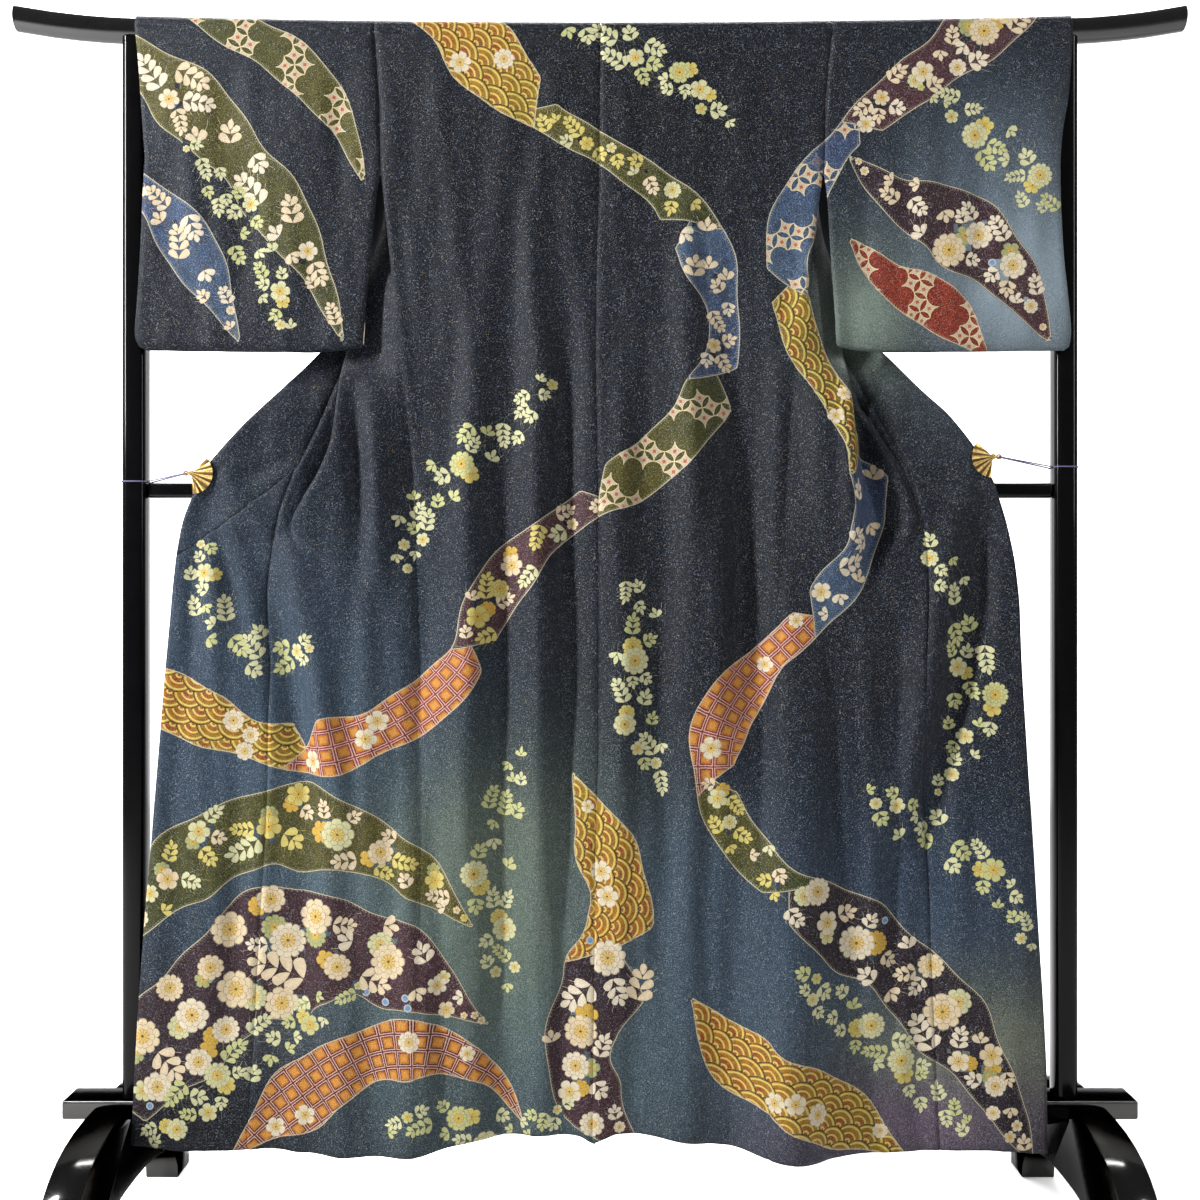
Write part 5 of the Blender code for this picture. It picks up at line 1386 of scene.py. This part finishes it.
def nearest_line(u, w):
    """How far two coordinates are from whole numbers: the nearer of the two."""
    return (0.5 - abs(u.part() - 0.5)).least(0.5 - abs(w.part() - 0.5))


def chance_of(look, u, w):
    """A number from 0 to 1 for each cell of a net."""
    cell = look.node("ShaderNodeCombineXYZ", None, {"X": u.floor(), "Y": w.floor()})["Vector"]
    return look.node("ShaderNodeTexWhiteNoise", {"noise_dimensions": "3D"},
                     {"Vector": cell})["Value"]


def leaf_share(t, off, half):
    """How far out a point is in a drop-shaped leaf, 1 at its edge: its offset from the
    middle line over the width there, which swells with t and closes in a round end."""
    held = t.held()
    width = held ** 0.75 * (1.0 - held * held * held).most(0.0004) ** 0.5
    return off * (1.0 / half) / (width.most(0.02) * 1.55)


def stamped(look, under, n, mottle, uneven):
    """The colour with layer n's stamp over what is under it.

    A river is a ground with a pale outline and short strokes beside it, filled with waves
    (rows of discs half over the row behind, ringed by distance from the middle), clusters
    of linked rings (circles round the points of a square net, each through its neighbours'
    crossings) or a check of nested squares. A spray is pairs of egg-shaped leaves. A flower
    is three rings of petals, their edges waves of the angle round its middle."""
    spot = look.node("ShaderNodeSeparateXYZ", None,
                     {0: look.attribute(f"place_{n}", "Vector")})
    a, b, inside = spot["X"], spot["Y"], spot["Z"]
    kind = look.attribute(f"kind_{n}", "Fac")
    tone = look.attribute(f"tone_{n}")
    second = look.attribute(f"second_{n}")

    is_river = kind.near(2.5, 2.0, 0.1)
    ground = look.mix(mottle * 0.6, tone, look.mix(0.6, tone, (0.035, 0.03, 0.02)))
    rows = b * (2 / WAVE_RADIUS)
    u = a * (0.5 / WAVE_RADIUS) + (rows.floor() * 0.5).part()
    aside, up = abs(u.part() - 0.5) * 2.0, rows.part() * 0.5 + 0.5
    front = (aside * aside + up * up) ** 0.5
    back = ((1.0 - aside) * (1.0 - aside) + (up - 0.5) * (up - 0.5)) ** 0.5
    is_front = front.under(1.0, 0.02)
    out = front * is_front + back * (1.0 - is_front)
    is_wave = kind.near(WAVES, 0.5, 0.1)
    warm = out.under(0.62, 0.3) * (0.25 + chance_of(look, u, rows) * 0.75)
    ground = look.mix(is_wave * warm * 0.85, ground, dyed(160, 70, 26))
    ground = look.mix(is_wave * (out * 3.0).part().near(0.5, 0.15, 0.1) * 0.8, ground,
                      dyed(226, 208, 112))
    ground = look.mix(is_wave * out.over(0.94, 0.03) * 0.9, ground, dyed(54, 36, 20))

    u, w = a * (1 / CHECK_PITCH), b * (1 / CHECK_PITCH)
    net = nearest_line(u, w)
    is_check = kind.near(CHECK, 0.5, 0.1)
    ground = look.mix(is_check * net.over(0.185, 0.03), ground, dyed(196, 122, 42))
    ground = look.mix(is_check * net.over(0.30, 0.08) * 0.6, ground, dyed(216, 160, 82))
    ground = look.mix(is_check * net.near(0.075, 0.028, 0.015) * 0.9, ground,
                      dyed(226, 182, 164))

    u, w = a * (1 / RING_PITCH), b * (1 / RING_PITCH)
    p, q = abs(u.part() - 0.5), abs(w.part() - 0.5)
    first = ((1.0 - p) * (1.0 - p) + q * q) ** 0.5 - 0.7071
    other = ((1.0 - q) * (1.0 - q) + p * p) ** 0.5 - 0.7071
    arc = first.least(other)
    cluster = (u.floor() * 1.35 + w.floor() * 0.8 + 0.4).sine()
    is_ring = kind.near(RINGS, 0.5, 0.1) * cluster.over(0.12, 0.01)
    ground = look.mix(is_ring * arc.over(0.03, 0.02), ground, dyed(200, 182, 158))
    ground = look.mix(is_ring * (p + q).under(0.16, 0.03), ground, dyed(190, 104, 60))
    ground = look.mix(is_ring * abs(arc).under(0.030, 0.02), ground, dyed(222, 204, 160))
    ground = look.mix(inside.near(0.0011, 0.0006, 0.0006), ground, second)
    strokes = ((a + b * 0.35) * (1 / STROKE_PITCH)).part().under(0.45, 0.2)
    ground = look.mix(strokes * inside.near(0.0030, 0.0014, 0.001) * 0.35, ground, second)
    colour = look.mix(is_river * inside.over(0.0, 0.0005), under, ground)

    is_spray = kind.near(SPRAY + 0.2, 0.4, 0.01)
    pairs = ((kind - float(SPRAY)) * 100.0 + 0.5).floor()
    aside = abs(b)
    sine, cosine = math.sin(LEAF_TURN), math.cos(LEAF_TURN)
    base = (a - aside * (cosine / sine)) * (1 / SPRAY_PITCH)
    off = (base.part() - 0.5) * SPRAY_PITCH
    whole = (base.over(0.0, 0.001) * (base - pairs).under(0.0, 0.001))
    egg = leaf_share((aside * (1 / sine) + off * cosine) * (1 / LEAF_LONG), abs(off * sine),
                     SPRAY_PITCH * sine * 0.62)
    tip = leaf_share((a - pairs * SPRAY_PITCH) * (1 / END_LEAF) + 0.08, aside, 0.40)
    egg = (egg + (1.0 - whole) * 9.0).least(tip) + uneven * 0.12
    petal = is_spray * egg.under(0.92, 0.10)
    colour = look.mix(is_spray * egg.near(1.02, 0.09, 0.08) * 0.7, colour,
                      look.mix(0.5, second, (0.01, 0.01, 0.012)))
    colour = look.mix(petal, colour, look.mix(egg * egg * 0.22, tone, second))
    stem = aside.under(0.035, 0.03) * (a - pairs * SPRAY_PITCH).under(0.05, 0.05)
    colour = look.mix(is_spray * stem * 0.8, colour, second)

    far = (a * a + b * b) ** 0.5 + uneven * 0.10
    is_dot = kind.near(DOT, 0.5, 0.1)
    colour = look.mix(is_dot * far.under(0.95, 0.1), colour,
                      look.mix(far.over(0.62, 0.1), tone, second))

    is_flower = kind.over(10.5, 0.1)
    turn = look.node("ShaderNodeMath", {"operation": "ARCTAN2"}, {0: b, 1: a})["Value"]
    half_turn = turn * (kind - float(FLOWER)) * 0.5
    double = kind.over(17.5, 0.1)
    for size, wave, shown in ((0.98, abs(half_turn.sine()), 1.0),
                              (0.69, abs(half_turn.cosine()), double),
                              (0.42, abs(half_turn.sine()), double)):
        notch = 1.0 - wave
        rim = size * (1.0 - notch * notch * (0.32 - double * 0.14))
        inner = far * (1.0 / size)
        bloom = look.mix(inner.under(0.70, 0.6) * 0.34, tone, second)
        lines = (wave.under(0.10, 0.10) * 0.8).most((far - rim).near(-0.03, 0.015, 0.03))
        bloom = look.mix(lines * 0.70, bloom, dyed(84, 66, 44))
        colour = look.mix(is_flower * shown * (far - rim).under(0.0, 0.03), colour, bloom)
    colour = look.mix(is_flower * far.under(0.36, 0.20) * 0.55, colour, dyed(226, 190, 84))
    threads = (turn * 11.0).sine().over(0.25, 0.4) * far.near(0.24, 0.15, 0.06)
    colour = look.mix(is_flower * threads * 0.85, colour, dyed(198, 150, 30))
    return look.mix(is_flower * far.under(0.08, 0.05), colour, dyed(110, 92, 34))


# ---- The silk: crepe outside, its lining inside, and what all the cloth pieces share
#
# Chirimen crepe: hard-twisted weft pebbles the surface, so that it shines softly and looks
# finely speckled; the speckle is the dye's, with painted shade between the pebbles and
# painted glints on them. Inside is a plain cream lining, painted dark as shade inside the
# sleeves' open edges, and from the knees down a facing dyed like the outside. Each piece
# is a thin shell over its own part of the shape.

ALLOWANCE = 0.0045       # turned in behind a seam
ALLOWANCE_BACK = 0.0017
CREPE_GRAIN = 620.0      # pebbles per metre
DYE_DEPTH = 0.32         # share of the dyes' colour that the deep, pebbled cloth gives back
FACING_TOP = 0.80


def silk(layers):
    """The outside of a piece: its ground and so many layers of stamps, the dye's fine specks
    with painted shade between the crepe's pebbles, painted glints on them, and the crepe's
    pebbled surface."""
    look = Look(f"dyed silk crepe {layers}")
    place = look.place()
    cloudy = look.noise(34.0, 4.0, 0.6, place)
    mottle = look.noise(85.0, 3.0, 0.6, place).over(0.52, 0.25)
    uneven = look.noise(260.0, 2.0, 0.6, place) - 0.5
    pebble = look.noise(CREPE_GRAIN, 2.0, 0.7, place)
    colour = look.attribute("ground")
    for n in reversed(range(layers)):
        colour = stamped(look, colour, n, mottle, uneven)
    specks_and_glints = look.noise(640.0, 2.0, 0.65, place)
    pale = look.node("ShaderNodeRGBToBW", None, {"Color": colour})["Val"].over(0.22, 0.22)
    # Dark specks: the dye's speckle, with painted shade between the crepe's pebbles.
    colour = look.mix((0.5 - specks_and_glints).over(0.0, 0.20) * (0.62 - pale * 0.36), colour,
                      (0.001, 0.001, 0.0015))
    # Pale flecks: painted glints of light on the crepe's pebbles, fewer on pale stamps.
    painted_glint = specks_and_glints.over(0.62, 0.12) * (1.0 - pale * 0.8)
    glint_tone = look.mix(look.noise(190.0, 1.0, 0.5, place).over(0.62, 0.12),
                     dyed(150, 158, 172), dyed(196, 172, 132))
    glint_spread = look.noise(120.0, 2.0, 0.5, place).over(0.46, 0.2)
    colour = look.mix(painted_glint * (0.20 + glint_spread * 0.40), colour, glint_tone)
    colour = look.mix(cloudy.over(0.5, 0.5) * 0.14, colour, (0.0, 0.0, 0.0))
    colour = look.mix(1.0, colour, (DYE_DEPTH, DYE_DEPTH, DYE_DEPTH), "MULTIPLY")
    look.set(base_color=colour, roughness=0.44 + pebble * 0.22, sheen_weight=0.01,
             sheen_roughness=0.4, specular_ior_level=0.05,
             normal=look.bump(pebble, 0.0011, 0.7))
    return look.material


def lining():
    """The inside of a piece: plain cream silk, under FACING_TOP the dyed facing, and painted
    shade over the lining inside the sleeves' open edges.
    """
    look = Look("silk lining")
    place = look.place()
    height = look.node("ShaderNodeSeparateXYZ", None, {0: place})["Z"]
    weave = look.noise(1100.0, 1.0, 0.5, place)
    soft = look.noise(14.0, 3.0, 0.5, place)
    cream = look.mix(soft, dyed(166, 156, 134), dyed(148, 138, 116))
    facing = look.mix(soft, dyed(26, 34, 46), dyed(20, 26, 36))
    colour = look.mix(height.under(FACING_TOP, 0.001), cream, facing)
    colour = look.mix(height.near(FACING_TOP, 0.0006, 0.0006) * 0.6, colour,
                      dyed(40, 44, 52))
    # Painted shade: the lining inside a sleeve's open edge, where the opening lies in shadow,
    # takes a dark colour.
    colour = look.mix(look.attribute("opening_shade", "Fac"), colour, dyed(26, 30, 38))
    look.set(base_color=look.mix(weave * 0.12, colour, (0.0, 0.0, 0.0)),
             roughness=0.46 + weave * 0.16, sheen_weight=0.1, sheen_roughness=0.4,
             specular_ior_level=0.35, normal=look.bump(weave, 0.0003, 0.4))
    return look.material


SILKS = [silk(layers) for layers in range(LAYERS + 1)]
LINING = lining()


def cloth_piece(name, patches, solid, thick=CLOTH_THICK):
    """One cloth piece from fine grids. A patch is its points, their places on the layout
    and whether its faces are turned; edges with the same points are welded. Solidify gives
    it its thickness, its inside in the lining: the last material, where the offset stops."""
    points = np.concatenate([grid.reshape(-1, 3) for grid, _, _ in patches])
    layout = np.concatenate([flat.reshape(-1, 2) for _, flat, _ in patches])
    faces, start = [], 0
    for grid, _, turned in patches:
        rows, columns = grid.shape[:2]
        a = start + (np.arange(rows - 1)[:, None] * columns + np.arange(columns - 1)).ravel()
        ring = np.stack([a, a + 1, a + columns + 1, a + columns], axis=1)
        faces.append(ring[:, ::-1] if turned else ring)
        start += rows * columns
    faces = np.concatenate(faces)
    _, keep, weld = np.unique(np.round(points, 7), axis=0, return_index=True,
                              return_inverse=True)
    welded = weld.reshape(-1)[faces]
    whole = np.array([(welded != np.roll(welded, n, axis=1)).all(axis=1)
                      for n in (1, 2)]).all(axis=0)
    mesh = bpy.data.meshes.new(name)
    mesh.from_pydata(points[keep], [], welded[whole])
    stamps = paint(mesh, layout[faces[whole]])
    piece = bpy.data.objects.new(name, mesh)
    for material in (*SILKS, LINING):
        mesh.materials.append(material)
    mesh.polygons.foreach_set("material_index", stamps.astype(np.int32))
    mesh.polygons.foreach_set("use_smooth", np.ones(len(mesh.polygons), bool))
    mesh.update()
    bpy.context.scene.collection.objects.link(piece)
    wall = piece.modifiers.new("wall", "SOLIDIFY")
    wall.thickness = thick
    wall.offset = 0.0
    wall.material_offset = len(SILKS)
    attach(piece, "root")
    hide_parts(solid)
    return piece


def with_allowance(grid):
    """The grid with a column before its first: the seam allowance, turned in behind the
    cloth that is sewn to it."""
    away = grid[:, 1:2] - grid[:, :1]
    away = away / np.maximum(np.linalg.norm(away, axis=-1, keepdims=True), 1e-6)
    return np.concatenate([grid[:, :1] - away * ALLOWANCE + (0.0, ALLOWANCE_BACK, 0.0), grid],
                          axis=1)


def flat_places(grid):
    return grid[..., [0, 2]]


def front_layout(grid, side):
    """Where a front panel's points lie on the layout: low down the panel spans from its
    side seam to its inner seam, and higher, where it is folded away, its own length along
    each row is laid out from the side seam."""
    step = np.diff(grid[..., :2], axis=1, prepend=grid[:, :1, :2])
    run = np.cumsum(np.linalg.norm(step, axis=-1), axis=1)
    span = np.abs(grid[:, -1:, 0]) - np.abs(grid[:, :1, 0])
    fitted = run / run[:, -1:] * span
    high = smooth((grid[:, :1, 2] - 1.10) / 0.18)
    out = np.abs(grid[:, :1, 0]) + fitted + (run - fitted) * high
    return np.stack([out * SIGN[side], grid[..., 2]], axis=-1)


# ---- The two body lengths, each one cloth from the back hem over the rod to the front hem
#
# Each is a full width of crepe, folded over at the shoulder, sewn to its other half down
# the middle of the back and to its own front down the side, under the side opening. Its
# front half lies folded out beside the back, with a deep pleat where the two meet.

for side in SIGN:
    back, arc, front = body_patches(side)
    turned = side == "left"
    patches = [(back, flat_places(back), turned), (arc, flat_places(arc), turned),
               (front, front_layout(front, side), turned)]
    if side == "left":
        lap = with_allowance(back)[:-8, :2]
        patches.append((lap, flat_places(lap), turned))
    body = cloth_piece(f"silk_body_{side}", patches, f"body_{side}")


# ---- The sleeves: one length each, folded over the rod and closed at the bottom
#
# Sewn to the body from the shoulder down to the side opening; open at the wrist down to
# the cuff's stop and at the body side under the armhole, with a rounded outer corner.

OPENING_SHADE_WIDE = 0.016      # lining painted dark as shade this far in from the open edge
# lowest height of that painted shade, on each side
OPENING_SHADE_DOWN_TO = {"left": 1.350, "right": 1.270}

for side in SIGN:
    back, arc, front, edge = sleeve_patches(side)
    turned = side == "left"
    sleeve = cloth_piece(f"silk_sleeve_{side}",
                         [(back, flat_places(back), turned), (arc, flat_places(arc), turned),
                          (front, flat_places(front), not turned),
                          (edge, flat_places(edge), turned)], f"sleeve_{side}")
    middles = np.array([tuple(face.center) for face in sleeve.data.polygons])
    outward, depth, height = middles[:, 0] * SIGN[side], middles[:, 1], middles[:, 2]
    edge = along(height, SLEEVE_Z, SLEEVE_INNER[side])
    near = along(height, SLEEVE_Z, SLEEVE_BACK_Y)
    # Faces of the far layer's lining near the open edge, between these heights, get painted
    # shade.
    opening_shade = ((outward < edge + OPENING_SHADE_WIDE) & (depth > near + 0.004) & (height < 1.56)
                 & (height > OPENING_SHADE_DOWN_TO[side]))
    sleeve.data.attributes.new("opening_shade", "FLOAT", "FACE").data.foreach_set(
        "value", opening_shade.astype(np.float32))


# ---- The overlap panels, sewn to the front edges and cut on a slant for the collar
#
# Half a width of crepe each, from the hem up to a long slanting seam. Folded out, they are
# the outermost cloth on either side, and their plain edges are turned in and pressed.

okumi_tops = {}
for side in SIGN:
    coarse = okumi_patch(side)
    okumi_tops[side] = coarse[-1]
    counts = [max(1, round(n)) for n in np.diff(coarse[:, 0, 2]) / 0.0066]
    grid = refined(coarse, places(counts), places([6] * 5))
    grid = with_allowance(sewn(creased(grid), SIGN[side], first=True))
    tuck = grid[-1:, 1:] + (-SIGN[side] * 0.002, ALLOWANCE_BACK, 0.006)
    grid = np.concatenate([grid, np.concatenate([tuck[:, :1], tuck], axis=1)])
    panel = cloth_piece(f"silk_okumi_{side}", [(grid, flat_places(grid), side == "left")],
                        f"okumi_{side}")


# ---- The collar: one long band, from one pointed end round the neck to the other
#
# A folded band of crepe over its own lining, sewn along the necklines and down the slanting
# seams. The clips draw its free edges straight from the neck out to either side.

halves = {side: collar_half(side, okumi_tops[side]) for side in SIGN}
coarse = np.concatenate([halves["left"][:0:-1], halves["right"]])
gaps = np.linalg.norm(np.diff(coarse.mean(axis=1), axis=0), axis=1)
line = through(coarse, places([max(1, round(gap / 0.007)) for gap in gaps]))
share = np.linspace(0.0, 1.0, 16)[None, :, None]
grid = line[:, :1] * (1 - share) + line[:, 1:] * share
grid = sewn(creased(grid), -1, first=True)
grid = with_allowance(grid)
collar = cloth_piece("silk_collar", [(grid, flat_places(grid), True)], "collar", 0.0018)


# ---- The clips and their threads: brass fans that hold the collar out to the posts
#
# Small stamped fans on a spring barrel, gilt brass with ribs, and painted shade in the
# grooves between them. A fine silk thread runs from each one's lug round the post beside it.

FAN_PIN = {"left": (-0.5907, 1.1116), "right": (0.5684, 1.1354)}
RIBS = 10
THREAD_LOFT = 0.0004     # how far the loose ply stands out round the thread

for side in SIGN:
    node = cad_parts[f"clip_{side}"]
    brass = Look(f"gilt brass {side}")
    spot = brass.node("ShaderNodeSeparateXYZ", None, {0: brass.place()})
    pin_x, pin_z = FAN_PIN[side]
    turn = brass.node("ShaderNodeMath", {"operation": "ARCTAN2"},
                      {0: spot["Z"] - pin_z, 1: spot["X"] - pin_x})["Value"]
    rib = (turn * (RIBS * 2.0)).sine()
    worn = brass.noise(420.0, 4.0, 0.6)
    fine = brass.noise(1500.0, 2.0, 0.5)
    colour = brass.mix(worn.over(0.5, 0.4), dyed(190, 162, 104), dyed(118, 92, 50))
    # Painted shade: the grooves between the ribs are darkened by the angle round the pin.
    brass.set(base_color=brass.mix(rib.under(-0.05, 0.5) * 0.88, colour, dyed(44, 30, 14)),
              metallic=1.0, roughness=0.30 + worn * 0.2 + fine * 0.05,
              normal=brass.bump(rib * 0.5 + fine * 0.1, 0.0006, 0.6))
    node.data.materials.clear()
    node.data.materials.append(brass.material)
    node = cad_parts[f"thread_{side}"]
    twist = Look(f"silk thread {side}")
    ply = twist.noise(1800.0, 2.0, 0.5)
    twist.set(base_color=twist.mix(ply, dyed(22, 16, 44), dyed(48, 40, 74)),
              roughness=0.55 + ply * 0.2, normal=twist.bump(ply, 0.0002, 0.5))
    node.data.materials.clear()
    node.data.materials.append(twist.material)
    rounded(node)
    plied = node.modifiers.new("plied", "DISPLACE")
    plied.strength = THREAD_LOFT
    plied.mid_level = 0.0


low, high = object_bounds()
